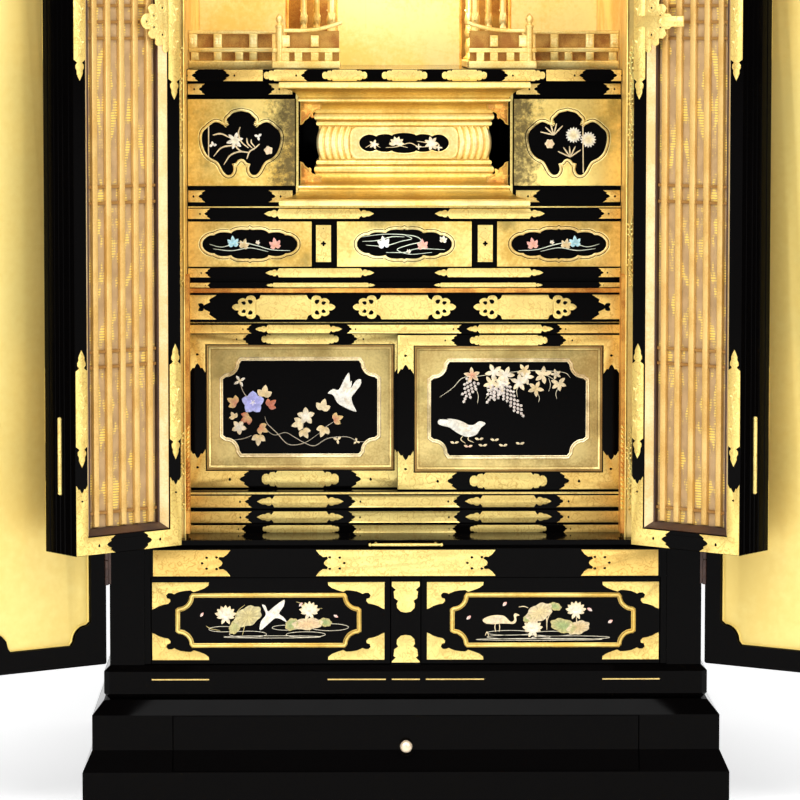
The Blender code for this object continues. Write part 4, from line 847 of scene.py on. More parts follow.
def build_lower_drawer(side, sign):
    """Scalloped corner plates, the gilt ogee-cornered moulding and the picture of a lower drawer."""
    face = front_face(f"lower_drawer_{side}", lift=0.05)
    outer, inner, low, high = 272.2, 22.8, 165.0, 249.2
    middle_x, middle_z = sign * (outer + inner) / 2, 207.9
    fittings = Piece(f"lower_drawer_{side}_fittings")
    for x, along in ((sign * outer, -sign), (sign * inner, sign)):
        for z, up in ((low, 1), (high, -1)):
            outline = np.concatenate([[(0, 0)], SCALLOP]) * (along, up) + (x, z)
            fittings.plate(face, outline, 0.9, 0.25, tint=warmth(x * 0.5))
    fittings.build(f"lower_drawer_{side}", PLATE, "gold_plate")
    moulding = Piece(f"lower_drawer_{side}_gilt_frame")
    outline = notched(middle_x - 99.8, middle_z - 29.5, middle_x + 99.8, middle_z + 29.5, 17.5, 9)
    moulding.ring(face, outline, [(0, 0), (0, 1.1), (0.5, 1.5), (0.8, 2.5), (1.7, 3.2), (2.8, 3.2),
                                  (3.6, 2.5), (3.9, 1.5), (4.4, 1.1), (4.8, 0.7), (4.8, 0)])
    moulding.build(f"lower_drawer_{side}", GILT, "gold_leaf",
                   replaces=(f"lower_drawer_{side}_moulding",))
    picture = Piece(f"lower_drawer_{side}_inlay")
    painter = flying_crane_picture if side == "left" else standing_crane_picture
    painter(picture, face, middle_x, middle_z)
    picture.build(f"lower_drawer_{side}", INLAY, "gold_plate")


def build_tray_handle():
    """The pull bar: a turned rod with balls at its ends on two stems."""
    low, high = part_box("tray_handle")
    half, middle = high.x * 1000, (low.z + high.z) / 2
    piece = Piece("tray_pull_bar")
    profile = [(0.3, 0), (1.5, 0.3), (2.0, 1.2), (1.9, 2.4), (1.1, 3.0), (1.3, 4.2), (1.6, 7), (1.75, 40),
               (1.6, 2 * half - 7), (1.3, 2 * half - 4.2), (1.1, 2 * half - 3.0), (1.9, 2 * half - 2.4),
               (2.0, 2 * half - 1.2), (1.5, 2 * half - 0.3), (0.3, 2 * half)]
    piece.turned((low.x, low.y + 2.1 * MM, middle), profile, up=(1, 0, 0), sides=16)
    for sign in (-1, 1):
        piece.turned((sign * 0.032, low.y + 2.0 * MM, middle),
                     [(1.0, 0), (1.0, 7.5), (1.7, 9.3), (1.7, 10.4)], up=(0, 1, 0), sides=12)
    piece.build("tray", PLATE, "gold_plate", replaces=("tray_handle",))


def build_plinth_knob():
    """The knob: a turned mushroom with a ringed foot."""
    low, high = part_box("plinth_knob")
    at = ((low.x + high.x) / 2, high.y, (low.z + high.z) / 2)
    profile = [(5.2, 0), (5.4, 0.7), (4.6, 1.2), (3.1, 1.6), (2.8, 2.6), (3.0, 3.6), (4.2, 4.6), (5.9, 6.0),
               (6.6, 7.6), (6.5, 9.2), (5.6, 10.8), (4.2, 12.0), (2.2, 12.9), (0.3, 13.2)]
    piece = Piece("plinth_drawer_knob")
    piece.turned(at, profile, up=(0, -1, 0), sides=32)
    piece.build("plinth_drawer", KNOB, "knob", replaces=("plinth_knob",))


# Cupboard, its sill and its lintel

def step_face(depth):
    """The upright face of a step at a depth, with X and Z in frame millimetres."""
    return Face((0, depth, 0))


def build_cupboard_rails():
    """Plates on the steps of the sill and lintel, the gilt lines and the rounded rail in gilding darkened by
    painted shade.
    """
    piece = Piece("cupboard_rail_fittings")
    wide_row = ((-61, 61, "fork", "fork"), (66.5, 161.5, "spear", "spear"),
                (167, JAMB_REACH, "fork", "square"))
    row(piece, step_face(-0.160), 318.9, 331.8, wide_row)
    row(piece, step_face(-0.168), 303.0, 315.4, wide_row)
    row(piece, step_face(-0.175), 292.9, 301.2, ((-57, 57, "fork", "fork"), (71.5, 155, "lobes", "lobes"),
                                                 (173, JAMB_REACH, "fork", "square")))
    row(piece, step_face(-0.157), 509.9, 519.2, ((-62.7, 62.7, "fork", "fork"), (68, 163, "spear", "spear"),
                                                 (167, JAMB_REACH, "fork", "square")), 0.7)
    row(piece, step_face(-0.163), 560.4, 565.6, ((32, 150.6, "spear", "spear"),
                                                 (211.6, JAMB_REACH, "fork", "square")), 0.6)
    row(piece, step_face(-0.160), 571.4, 581.2, ((33, 151.5, "spear", "spear"),
                                                 (211.6, JAMB_REACH, "fork", "square")), 0.8)
    for depth, z0, z1 in ((-0.160, 333.4, 335.6), (-0.154, 520.8, 522.2)):
        piece.plate(step_face(depth), rectangle(-JAMB_REACH, z0, JAMB_REACH, z1), 0.5, 0.2)
    piece.build("cabinet", [PLATE, LACQUER], "gold_plate")
    rail = Piece("rounded_rail_in_painted_shade")
    rail.slab(step_face(-0.166), rectangle(-JAMB_REACH, 554.9, JAMB_REACH, 559.8),
              [(0, 0), (0.1, 0.5), (0.6, 1.0), (1.5, 1.3)])
    rail.build("cabinet", SHADED_GILT, "brown_gilt")


# Half of a medallion's pierced end, outwards from its body: cusped lobes round four commas
MEDALLION_END = [(-0.6, 9.8), (1.6, 12.2), (5.2, 12.9), (8.8, 11.7), (10.4, 9.2), (13.4, 9.9), (17.0, 8.8),
                 (19.0, 6.2), (18.4, 3.8), (21.6, 3.4), (24.4, 1.6), (25.4, 0.0)]


def build_medallions():
    """Medallions on the lintel: an engraved body with cut corners between two pierced ends."""
    piece = Piece("lintel_medallions")
    face = step_face(-0.161)
    low, middle, high = 525.5, 538.9, 552.3
    half_end = curve(np.array(MEDALLION_END), 3)
    end = np.concatenate([half_end, (half_end * (1, -1))[::-1][1:]])
    for x in (-131.7, 0.0, 131.7):
        tint = warmth(x * 0.75)
        piece.slab(face, notched(x - 31, low, x + 31, high, 6.0, 6),
                   [(0, 0), (0, 0.9), (0.3, 1.5), (1.2, 1.8), (1.6, 1.4), (2.0, 1.4)], tint=tint)
        for way in (-1, 1):
            piece.plate(face, end * (way, 1) + (x + way * 31, middle), 1.0, tint=tint)
            for out, up, size, heading in ((5.6, 6.2, 3.0, 35), (12.8, 4.7, 2.6, 20)):
                for over in (-1, 1):
                    turn = heading * over if way > 0 else 180 - heading * over
                    drop(piece, face, x + way * (31 + out), middle + over * up, size, turn, 1.0)
    for way in (-1, 1):
        outer, inner = way * JAMB_REACH, way * 204.6
        bar_ends = ("square", "fork") if way < 0 else ("fork", "square")
        piece.plate(face, bar(*sorted((outer, inner)), low, high, *bar_ends), 1.0, tint=warmth(190))
        for over in (-1, 1):
            drop(piece, face, way * 222, middle + 2.1 * over, 3.4, 90 - way * 90 + 32 * over * way, 1.0)
    piece.build("cabinet", [PLATE, LACQUER], "gold_plate")


def build_cupboard_door(side):
    """Corner and centre plates on a sliding door, its gilt panel and the inlaid picture."""
    low, high = (corner * 1000 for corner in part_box(f"cupboard_door_{side}"))
    face = front_face(f"cupboard_door_{side}")
    middle = (low.x + high.x) / 2
    fittings = Piece(f"cupboard_door_{side}_fittings")
    for x, along in ((low.x + 0.4, 1), (high.x - 0.4, -1)):
        tint = warmth(x * 0.75)
        corner_plate(fittings, face, (x, high.z - 0.4), 65, 42.5, 17.4, 11.4, (along, -1), tint)
        corner_plate(fittings, face, (x, low.z + 0.4), 65, 42.5, 17.4, 18.4, (along, 1), tint)
    for z0, z1, half in ((high.z - 11.8, high.z - 0.4, 42.5), (low.z + 0.4, low.z + 18.8, 42.5)):
        bar_plate(fittings, face, middle - half, middle + half, z0, z1, "lobes", "lobes",
                  tint=warmth(middle * 0.6))
    fittings.build(f"cupboard_door_{side}", [PLATE, LACQUER], "gold_plate")

    low, high = (corner * 1000 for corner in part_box(f"cupboard_panel_{side}"))
    field = front_face(f"cupboard_panel_{side}")
    tall_middle = (low.z + high.z) / 2
    panel = Piece(f"cupboard_door_{side}_gilt_panel")
    edge = rectangle(low.x, low.z, high.x, high.z)
    # Painted shade: the sunk outer edge of the panel is tinted dark brown.
    panel.ring(field, edge, [(0.3, -0.2), (0.3, 0.3), (0.7, 0.6), (2.0, 0.3), (2.6, -2.4)],
               tint=(0.55, 0.42, 0.32))
    panel.slab(field, edge, [(0, -15.4), (0, -0.4), (0.4, 0.0), (1.2, 0.0), (1.6, -0.6), (2.0, -1.6),
                             (3.0, -2.6), (4.4, -3.2), (4.9, -3.9), (5.3, -3.2), (6.2, -3.0)])
    window = notched(low.x + 17.0, low.z + 16.6, high.x - 17.0, high.z - 16.6, 21, 11)
    # Painted highlight: the bead round the window is tinted pale cream.
    panel.ring(field, window, [(-3.2, -3.2), (-2.8, -2.3), (-2.0, -1.8), (-1.2, -2.3), (-0.9, -2.7),
                               (-0.4, -2.0), (0.4, -1.7), (1.0, -2.1), (1.3, -3.2)], tint=(1.55, 1.75, 3.0))
    panel.build(f"cupboard_door_{side}", OLIVE_GOLD, "gold_leaf", replaces=(f"cupboard_panel_{side}",))
    ground = Piece(f"cupboard_door_{side}_black_field")
    ground.slab(field, window, [(0.8, -3.2), (0.8, -2.75)])
    ground.build(f"cupboard_door_{side}", LACQUER, "black_lacquer")
    picture = Piece(f"cupboard_door_{side}_inlay")
    painter = morning_glories if side == "left" else wisteria
    painter(picture, field.raised(-2.75), middle_point=np.array([(low.x + high.x) / 2, tall_middle]))
    picture.build(f"cupboard_door_{side}", INLAY, "gold_plate")


TAN, SAND, BRICK = (0.60, 0.42, 0.16), (0.74, 0.60, 0.34), (0.50, 0.15, 0.07)


def ivy(piece, face, x, z, size, heading, tint, tip):
    """A three-lobed leaf: one long and two short petals from its stalk."""
    for lean, reach in ((-52, 0.78), (52, 0.78), (0, 1.0)):
        piece.petal(face, (x, z), size * reach, size * 0.52, heading + lean, tint, tip, 0.3, 0.45)


def morning_glories(piece, face, middle_point):
    """Bellflowers on a creeping vine, and a bird on the wing above them."""
    def at(dx, dz):
        """The place that lies (dx, dz) from the middle of the front."""
        return middle_point + (dx, dz)

    vines = (((-78, -37), (-62, -34.5), (-53.6, -31.3)),
             ((-39, -10.2), (-36, -18.3), (-26, -28), (-13, -41), (4.7, -39.4), (21, -28.8)),
             ((-42.3, -20), (-29.3, -30.5), (-16.4, -28), (-6.6, -32.9), (4.7, -39.4), (16, -42.6),
              (30.6, -34.5), (51.7, -32.9), (63, -37.7), (74.4, -38.6)),
             ((-52, 5), (-58, -6), (-66, -22)), ((-52, 5), (-62, 16), (-66, 28)),
             ((-50, 5), (-44, 12), (-40, 18)), ((6, -12), (3, -20), (4, -30)),
             ((37, -16), (28, -22), (22, -28)))
    for vine in vines:
        piece.stroke(face, [at(*p) for p in vine], 0.85, VINE)
    for dx, dz, size, heading, tint, tip in (
            (-40, 12, 13, 80, TAN, CREAM), (-56, -10, 12, 215, TAN, RUST), (-45.5, -31, 12, 265, TAN, CREAM),
            (24, -3, 13, 75, SAND, CREAM), (26.6, -22, 12, 250, TAN, CREAM), (-70, 4, 12, 150, BRICK, TAN),
            (-35, 1, 11, 40, RUST, BRICK), (37, -14, 11, 20, BRICK, TAN), (-45, -22, 11, 330, BRICK, TAN),
            (1.5, -17, 12, 200, SAND, CREAM), (3, -25, 11, 300, TAN, CREAM), (-72, -12, 8, 120, TAN, CREAM)):
        ivy(piece, face, *at(dx, dz), size, heading, tint, tip)
    blossom(piece, face, *at(-67.4, -22), 8.5, 5, WHITE, CREAM, 60, wide=0.62)
    blossom(piece, face, *at(6.3, -10), 10, 5, WHITE, CREAM, 20, wide=0.60)
    blossom(piece, face, *at(-66.6, 29), 7, 4, SAND, WHITE, 30, wide=0.4)
    blossom(piece, face, *at(41, -36), 5, 3, SAND, CREAM, 40, wide=0.5)
    blossom(piece, face, *at(62, -38), 4, 3, SAND, CREAM, 100, wide=0.5)
    blossom(piece, face, *at(-52, 5.2), 12.8, 5, VIOLET, (0.42, 0.44, 0.80), 18, wide=0.86)
    blossom(piece, face, *at(-52, 5.2), 4.5, 5, WHITE, (0.6, 0.6, 0.9), 54, wide=0.5)
    silhouette(piece, face, *at(47, 15.5), FLYING_BIRD, WHITE,
               ((1, 1, 18, 4.6, 76), (3.6, 0, 15, 4, 66), (8, 1, 14, 4, 44), (1, -5, 17, 5, 310)))


def wisteria(piece, face, middle_point):
    """Wisteria hanging from above, a standing bird and fallen petals."""
    def at(dx, dz):
        """The place that lies (dx, dz) from the middle of the front."""
        return middle_point + (dx, dz)

    for line in (((-75, 13), (-61, 23), (-50, 34), (-32, 36), (-20, 38)), ((-35, 21), (-33, 14), (-34, 6)),
                 ((-24, 24), (-22, 18), (-25, 11)), ((12, 26), (9, 20), (10, 13)),
                 ((32, 17), (34, 12), (33, 7)), ((44, 34), (46, 26), (44, 19)),
                 ((55, 24), (52, 17), (53, 11)),
                 ((-20, 38), (0, 40), (30, 42), (60, 40), (68, 34)), ((-2, 34), (14, 30), (30, 24)),
                 ((40, 38), (50, 32), (56, 28))):
        piece.stroke(face, [at(*p) for p in line], 0.7, (0.62, 0.56, 0.40))
    for start, stop in (((-39, 31), (-50, 5)), ((-12, 22), (-25, 5)), ((-8, 26), (17, -9)),
                        ((-15, 24), (-17, 10))):
        along = np.subtract(stop, start)
        reach = float(np.linalg.norm(along))
        along = along / reach
        rows = int(reach / 3.3)
        for k in range(rows):
            count = (3 if k % 2 else 4) if k < rows * 0.4 else (3 if k % 2 else 2) if k < rows - 2 else 1
            for j in range(count):
                off = (j - (count - 1) / 2) * 3.2
                spot = np.array(start) + along * 3.3 * k + np.array([-along[1], along[0]]) * off
                heading = math.degrees(math.atan2(along[1], along[0])) + off * 14
                piece.petal(face, at(*spot), 3.9, 3.1, heading, (0.40, 0.28, 0.26), WHITE, 0.9)
    for dx, dz, size, heading, spread, tint in (
            (-40, 37, 9, 20, 300, BRICK), (-16, 40, 10, 40, 300, WHITE), (-3, 37, 10, 0, 280, WHITE),
            (17, 42, 8, 200, 280, TAN), (19, 35, 9, 60, 300, WHITE), (38, 37, 10, 20, 260, CREAM),
            (55, 28, 9, 160, 240, SAND), (12, 29, 10, 90, 280, WHITE), (-19, 28, 9, 50, 300, CREAM),
            (-7, 27, 9, 10, 260, WHITE), (30, 22, 9, 200, 300, TAN), (52, 38, 6, 30, 300, VINE)):
        blossom(piece, face, *at(dx, dz), size, 5, tint, CREAM, heading, spread, 0.46)
    body = at(-51, -22)
    silhouette(piece, face, *body, STANDING_BIRD, WHITE,
               ((8, 2, 24, 5.4, 168), (10, -2, 21, 5, 176), (7, 4.4, 24, 4, 164)))
    for foot in (((1, -8), (-1, -12), (4, -16)), ((8, -8), (7, -12), (13, -15))):
        piece.stroke(face, [body + p for p in foot], 1.1, CREAM)
    for k, (dx, dz) in enumerate(((-59, -38), (-44, -42), (-32, -34), (-28, -41), (-15, -35), (-5.6, -41),
                                  (13, -39))):
        for heading in (20, 160):
            piece.petal(face, at(dx, dz), 5, 2.4, heading, ROSE if k == 1 else SAND, CREAM, 0.4)


# Small drawers, side boxes and the altar platform

def window_skin(piece, ground, face, centre, half_x, half_z, hole, tint=(1, 1, 1)):
    """A drawer's gilt front: a flat skin, and a round bead about a dark window with a fine dark groove; the
    beads are tinted paler as painted highlight.
    """
    (x0, z0), (x1, z1) = centre - (half_x, half_z), centre + (half_x, half_z)
    piece.plate(face, rectangle(x0, z0, x1, z1), 0.9, 0.4, tint=tint)
    # Painted highlight: both beads are tinted paler and creamier than the leaf round them.
    piece.ring(face, hole + centre, [(-2.9, 0.85), (-2.5, 1.35), (-1.7, 1.8), (-0.9, 1.8), (-0.2, 1.4),
                                     (0.1, 0.85)], tint=np.array(tint) * (1.05, 1.15, 1.7))
    ground.ring(face, hole + centre, [(-3.5, 0.85), (-3.5, 0.95), (-2.8, 0.95), (-2.8, 0.85)])
    piece.ring(face, hole + centre, [(-4.8, 0.85), (-4.5, 1.15), (-3.9, 1.15), (-3.5, 0.85)],
               tint=np.array(tint) * (1.05, 1.15, 1.5))
    ground.slab(face, hole + centre, [(-0.3, 0.85), (-0.3, 1.05)])


# A quarter of a small drawer's window, from the cusp at its top to its right end
DRAWER_WINDOW = [(0, 16.6), (2.4, 15.5), (8.0, 15.9), (14.6, 15.4), (19.0, 13.4), (20.4, 12.0), (25.0, 12.8),
                 (32.0, 12.8), (37.0, 11.2), (38.6, 9.8), (43.4, 9.4), (48.4, 6.6), (51.2, 2.8), (51.6, 0)]


def build_small_drawer(part):
    """A small drawer's gilt front with a lobed window: maple leaves on a stream."""
    name = f"small_drawer_{part}"
    low, high = (corner * 1000 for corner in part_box(name))
    face, centre = front_face(name), np.array([(low.x + high.x) / 2, (low.z + high.z) / 2])
    half_x, half_z = (high.x - low.x) / 2 - 0.1, (high.z - low.z) / 2 - 0.1
    skin, ground, picture = (Piece(f"{name}_{kind}") for kind in ("gilt_front", "black_field", "inlay"))
    hole = cartouche(DRAWER_WINDOW, 0, 0)
    window_skin(skin, ground, face, centre, half_x, half_z, hole, tint=warmth(centre[0] * 0.8))
    field = face.raised(1.05)
    flip = {"left": 1, "centre": 1, "right": -1}[part]

    def at(dx, dz):
        """The place that lies (dx, dz) from the middle of the front."""
        return centre + (dx * flip, dz)

    streams = {"left": (((-44, 0), (-30, -3), (-12, 2), (6, -1), (24, -6), (44, -7)),
                        ((-40, -5), (-20, -7), (0, -4), (20, -8))),
               "centre": (((-46, 8), (-20, 11), (10, 9), (18, 3), (4, -1), (-8, -6), (6, -11), (30, -9)),
                          ((-42, -1), (-22, -2), (-4, 3), (8, 6), (0, 10)),
                          ((-20, -9), (0, -9), (14, -5), (44, -6)),
                          ((-46, 3), (-30, 4), (-14, 8), (0, 8)))}
    for line in streams.get(part, streams["left"]):
        picture.stroke(field, [at(*p) for p in line], 0.9, (0.66, 0.72, 0.58))
    blue = (0.22, 0.52, 0.62) if part != "centre" else (0.62, 0.72, 0.92)
    leaves = {"left": ((-18, -1, 10.5, 95, blue, (0.5, 0.75, 0.8)), (-7, -3, 9.5, 75, TAN, CREAM),
                       (28, -3, 10.5, 100, (0.72, 0.34, 0.20), ROSE)),
              "centre": ((-22, -2, 11.5, 100, blue, WHITE), (20, -4, 10, 95, (0.70, 0.42, 0.26), ROSE),
                         (42, 3, 7, 80, CREAM, WHITE))}
    for dx, dz, size, heading, tint, tip in leaves.get(part, leaves["left"]):
        maple(picture, field, *at(dx, dz), size, heading, tint, tip)
    maple(picture, field, *at(8, 1) if part != "centre" else at(4, -9), 4.0, 60, CREAM, WHITE)
    skin.build(name, BOX_GOLD, "gold_leaf")
    ground.build(name, LACQUER, "black_lacquer")
    picture.build(name, INLAY, "gold_plate")


# Half of a side box's window from its top cusp to the notch between its feet
CLOUD_HALF = [(0, 34.2), (4.5, 33.2), (9.2, 31.8), (12.6, 28.4), (15.4, 25.6), (15.6, 21.6), (13.0, 19.2),
              (16.4, 18.9), (20.4, 19.4), (24.2, 21.4), (28.6, 22.0), (33.2, 19.4), (37.4, 15.6),
              (41.4, 11.6), (42.8, 5.0), (41.6, -3.5), (38.4, -11.6), (33.0, -17.0), (26.4, -20.4),
              (23.0, -25.0), (19.6, -31.4), (15.6, -35.2), (11.2, -34.6), (8.7, -30.4), (9.0, -26.0),
              (9.9, -23.2), (6.0, -22.0), (3.6, -19.0), (0, -17.6)]


def build_side_drawer(side):
    """A side box's gilt front with its cloud window: an orchid, or chrysanthemums."""
    name = f"side_drawer_{side}"
    low, high = (corner * 1000 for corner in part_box(name))
    face, centre = front_face(name), np.array([(low.x + high.x) / 2, (low.z + high.z) / 2 - 0.4])
    half_x, half_z = (high.x - low.x) / 2 - 0.1, (high.z - low.z) / 2 - 0.5
    skin, ground, picture = (Piece(f"{name}_{kind}") for kind in ("gilt_front", "black_field", "inlay"))
    half = curve(CLOUD_HALF, 3)
    hole = leftwards(np.concatenate([half, (half * (-1, 1))[::-1][1:-1]]))
    window_skin(skin, ground, face, centre, half_x, half_z, hole, tint=(1.0, 0.95, 0.85))
    field = face.raised(1.05)

    def at(dx, dz):
        """The place that lies (dx, dz) from the middle of the front."""
        return centre + (dx, dz)

    if side == "left":
        picture.tube(field.at([at(-35.4, 19.5), at(-35.6, -17.5)], 0.1), 0.6, (0, -1, 0), 6, 0.5, CREAM)
        for blade in (((-31, 8), (-22, 9.5), (-12, 5)), ((-30, -15), (-22, -6), (-12, -3.4), (-4, -4)),
                      ((-19, -24), (-12, -14), (-2, -10), (8, -10.6)),
                      ((6, -18), (9, -10), (15, -6), (20, -1.5)),
                      ((-1, 17), (-3, 10), (0, 1), (8, -6)), ((6, 5), (7, -1), (12, -6)),
                      ((11, 3.5), (11, 0), (15, -5)), ((-8, -2), (-1, -9), (8, -11))):
            picture.stroke(field, [at(*p) for p in blade], 1.7, CREAM)
        blossom(picture, field, *at(-7, 2), 9.5, 6, (0.80, 0.72, 0.48), WHITE, 15, wide=0.42)
        blossom(picture, field, *at(18.5, 6.5), 4.5, 3, WHITE, WHITE, 40, wide=0.6)
        blossom(picture, field, *at(-31, -3), 4.5, 3, WHITE, WHITE, 10, 180, wide=0.6)
        blossom(picture, field, *at(29.5, -8.5), 5, 5, (0.82, 0.56, 0.38), CREAM, 30, wide=0.95)
    else:
        picture.tube(field.at([at(16.5, 28), at(17.2, -33)], 0.3), 0.6, (0, -1, 0), 6, 0.5, CREAM)
        for dx, dz in ((6.4, 8.0), (22.5, 3.0)):
            blossom(picture, field, *at(dx, dz), 8.8, 16, (0.72, 0.60, 0.26), WHITE, 0, wide=0.34)
            blossom(picture, field, *at(dx, dz), 5.4, 10, CREAM, (0.82, 0.70, 0.36), 12, wide=0.42)
        for dx, dz, tilt in ((-15, 8, 12), (3, -16, 0)):
            for k, reach in enumerate((15, 13, 12, 13, 14)):
                heading = math.radians(155 - 30 * k + tilt)
                tip = at(dx + reach * math.cos(heading), dz + reach * math.sin(heading))
                picture.stroke(field, [at(dx, dz), (at(dx, dz) + tip) / 2, tip], 1.6, CREAM)
        blossom(picture, field, *at(-19.5, -1.5), 5.4, 6, (0.80, 0.50, 0.28), CREAM, 0, wide=0.9)
    skin.build(name, SIDE_GOLD, "gold_leaf")
    ground.build(name, LACQUER, "black_lacquer")
    picture.build(name, INLAY, "gold_plate")


def build_middle_fittings():
    """Plates on the small stiles, the altar board, the side cases and the front of the shrine floor."""
    piece = Piece("middle_fittings")
    stile = front_face("small_stile_left")
    for sign in (-1, 1):
        x = sign * 88.2
        piece.plate(stile, rectangle(x - 8.2, 587.9, x + 8.2, 628.2), 0.9, tint=(1, 1, 1))
        for turn in (0, 90, 180, 270):
            heading = math.radians(turn)
            drop(piece, stile, x + 1.3 * math.cos(heading), 608 + 1.3 * math.sin(heading), 1.5, turn + 180)
        for z in (591.5, 624.6):
            drop(piece, stile, x, z, 0.5)
    board = front_face("altar_board")
    row(piece, board, 635.2, 646.2, ((33.1, 152.9, "spear", "spear"), (211.6, JAMB_REACH, "fork", "square")))
    piece.plate(board, rectangle(-JAMB_REACH, 647.3, JAMB_REACH, 648.7), 0.5, 0.2)
    cases = step_face(-0.150)
    for sign in (-1, 1):
        piece.plate(cases, rectangle(sign * 116.8 - 1.4, 652.0, sign * 116.8 + 1.4, 782.0), 0.7)
    for z0, z1 in ((652.8, 665.8), (770.2, 782.0)):
        row(piece, cases, z0, z1, ((217, JAMB_REACH, "fork", "square"), (122, 148, "square", "fork")), 0.7)
    row(piece, step_face(-0.160), 785.0, 797.2, (
        (-24.7, 24.7, "lobes", "lobes"), (40.6, 89.5, "lobes", "lobes"), (105.5, 153, "fork", "lobes"),
        (154, 197, "square", "fork"), (224, JAMB_REACH, "fork", "square")), 0.9)
    piece.build("cabinet", [PLATE, LACQUER], "gold_plate")


# The altar platform from its middle to the top of its top board: half width, rise, and brightness of the
# gilding as painted light and shade, paler on the rounds and darker in the hollows
PLATFORM_PROFILE = [
    (93.0, 0.0, 1.0), (93.0, 18.2, 1.0), (94.2, 18.6, 1.1), (95.7, 19.7, 1.2), (96.2, 21.4, 1.2),
    (95.7, 23.1, 1.2), (94.6, 23.8, 0.6), (95.2, 24.6, 0.8), (97.0, 25.4, 1.15), (98.2, 27.2, 1.15),
    (98.5, 29.4, 1.15), (97.9, 31.6, 1.1), (96.9, 32.5, 0.6), (97.1, 33.6, 0.8), (98.2, 36.8, 0.8),
    (101.4, 40.3, 0.8), (106.4, 43.0, 0.75), (111.2, 44.2, 0.6), (112.2, 45.0, 0.9), (113.9, 45.4, 1.2),
    (115.3, 46.5, 1.25), (115.7, 47.8, 1.25), (115.2, 49.1, 1.2), (114.3, 49.7, 0.7), (115.4, 51.4, 0.8),
    (118.4, 54.8, 0.78), (123.0, 57.8, 0.7), (128.6, 59.6, 0.5), (132.4, 60.2, 0.45), (132.6, 60.7, 0.9),
    (135.5, 60.9, 1.3), (136.3, 61.6, 1.3), (136.5, 64.0, 1.3), (136.2, 66.6, 1.25), (135.3, 67.4, 1.1)]
PLATFORM_MIDDLE = 716.75
CARTOUCHE = [(0, 10.9), (5.5, 10.6), (11.4, 9.4), (13.4, 8.2), (17.0, 9.4), (23.0, 9.5), (28.4, 8.4),
             (30.6, 7.2), (34.6, 8.8), (40.0, 9.0), (45.0, 6.8), (48.2, 3.2), (49.0, 0)]


def build_platform():
    """The platform: its profile carried round three sides, with wings cut to the cases behind them."""
    low, high = (corner * 1000 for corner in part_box("altar_platform"))
    profile = [(half, -rise, bright) for half, rise, bright in PLATFORM_PROFILE[:0:-1]] + PLATFORM_PROFILE
    rings, tints = [], []
    for half, rise, bright in profile:
        front = low.y + high.x - half
        wing = max(front + 0.2, -150.3)
        core = min(half - 0.2, 114.2)
        plan = [(-half, wing), (-half, front), (half, front), (half, wing), (core, wing + 0.01),
                (core, high.y), (-core, high.y), (-core, wing + 0.01)]
        rings.append([(x, y, PLATFORM_MIDDLE + rise) for x, y in plan])
        # Painted light and shade: each row of the profile is tinted by its brightness.
        tints.append([(bright, bright ** 1.4, bright ** 2.6)] * len(plan))
    piece = Piece("altar_platform_mouldings")
    piece.loft(np.array(rings) * MM, tint=np.array(tints).reshape(-1, 3))
    waist = low.y + high.x - 93.0
    face = Face((0, waist * MM, 0))
    steps = np.linspace(-1, 1, 15)
    for sign in (-1, 1):
        for k in range(5):
            path = np.stack([sign * (87.6 - 7.0 * k + 4.2 * (1 - steps ** 2)),
                             PLATFORM_MIDDLE + 17.8 * steps], 1)
            radius = 2.7 + 1.5 * np.sqrt(1 - 0.9 * steps ** 2)
            # Painted highlight: each rib of the waist's barrels is tinted paler at its middle.
            shine = 1.0 + 0.25 * (1 - steps ** 2)
            tint = np.stack([shine, shine ** 1.5, shine ** 4], 1)
            piece.tube(face.at(path, -0.6), radius, (0, -1, 0), 14, tint=np.repeat(tint, 14, 0))
    wide, tall, cut_x, cut_z = 59.8, 18.0, 7.5, 8.5
    quarter = np.array([(wide, tall - cut_z), (wide - 0.35 * cut_x, tall - 0.35 * cut_z),
                        (wide - cut_x, tall)])
    outline = np.concatenate([quarter, quarter[::-1] * (-1, 1), quarter * (-1, -1), quarter[::-1] * (1, -1)])
    # Painted highlight: the raised plaque and the bead round its window are tinted paler than the leaf.
    piece.slab(face, outline + (0, PLATFORM_MIDDLE), [(0, 0), (0, 2.6), (0.4, 3.2), (1.2, 3.6), (2.0, 3.6),
                                                      (2.6, 3.2), (3.2, 3.2)], tint=(1.05, 1.15, 1.7))
    hole = cartouche(CARTOUCHE, 0, PLATFORM_MIDDLE)
    piece.ring(face, hole, [(-2.0, 3.1), (-1.7, 3.9), (-1.0, 4.3), (-0.3, 4.0), (0.1, 3.1)],
               tint=(1.05, 1.2, 1.9))
    piece.build("cabinet", GILT, "gold_leaf", replaces=("altar_platform",))
    ground = Piece("platform_cartouche_black_field")
    ground.slab(face, hole, [(-0.2, 3.1), (-0.2, 3.4)])
    ground.build("cabinet", LACQUER, "black_lacquer")
    picture = Piece("platform_cartouche_inlay")
    field = face.raised(3.4)
    for line in (((-42, -5), (-34, -1), (-26, -5)), ((-20, -5), (-8, -4), (6, 0), (16, -4), (26, -4)),
                 ((14, 2), (26, 0), (42, -6)), ((-16, 1), (-8, -2), (4, -5))):
        picture.stroke(field, [(x, z + PLATFORM_MIDDLE) for x, z in line], 0.9, CREAM)
    for x, z, reach, petals, spread in ((-33, -1.5, 5.5, 5, 360), (-8, -1, 8.5, 6, 180),
                                        (30, -0.5, 8, 7, 360), (38, -5, 4, 4, 360), (16, -4, 3.5, 4, 360)):
        blossom(picture, field, x, z + PLATFORM_MIDDLE, reach, petals, WHITE, SAND, 0, spread, 0.45)
    picture.build("cabinet", INLAY, "gold_plate")


# A bracket's inner edge from its outer foot: (distance from the middle, rise from the foot)
BRACKET_EDGE = [(113.9, 0.3), (110.5, 1.6), (108.5, 5.0), (106.4, 6.6), (104.4, 8.0), (102.4, 11.4),
                (100.0, 13.6), (97.4, 14.6), (95.0, 16.0), (92.6, 16.4), (90.3, 16.8)]


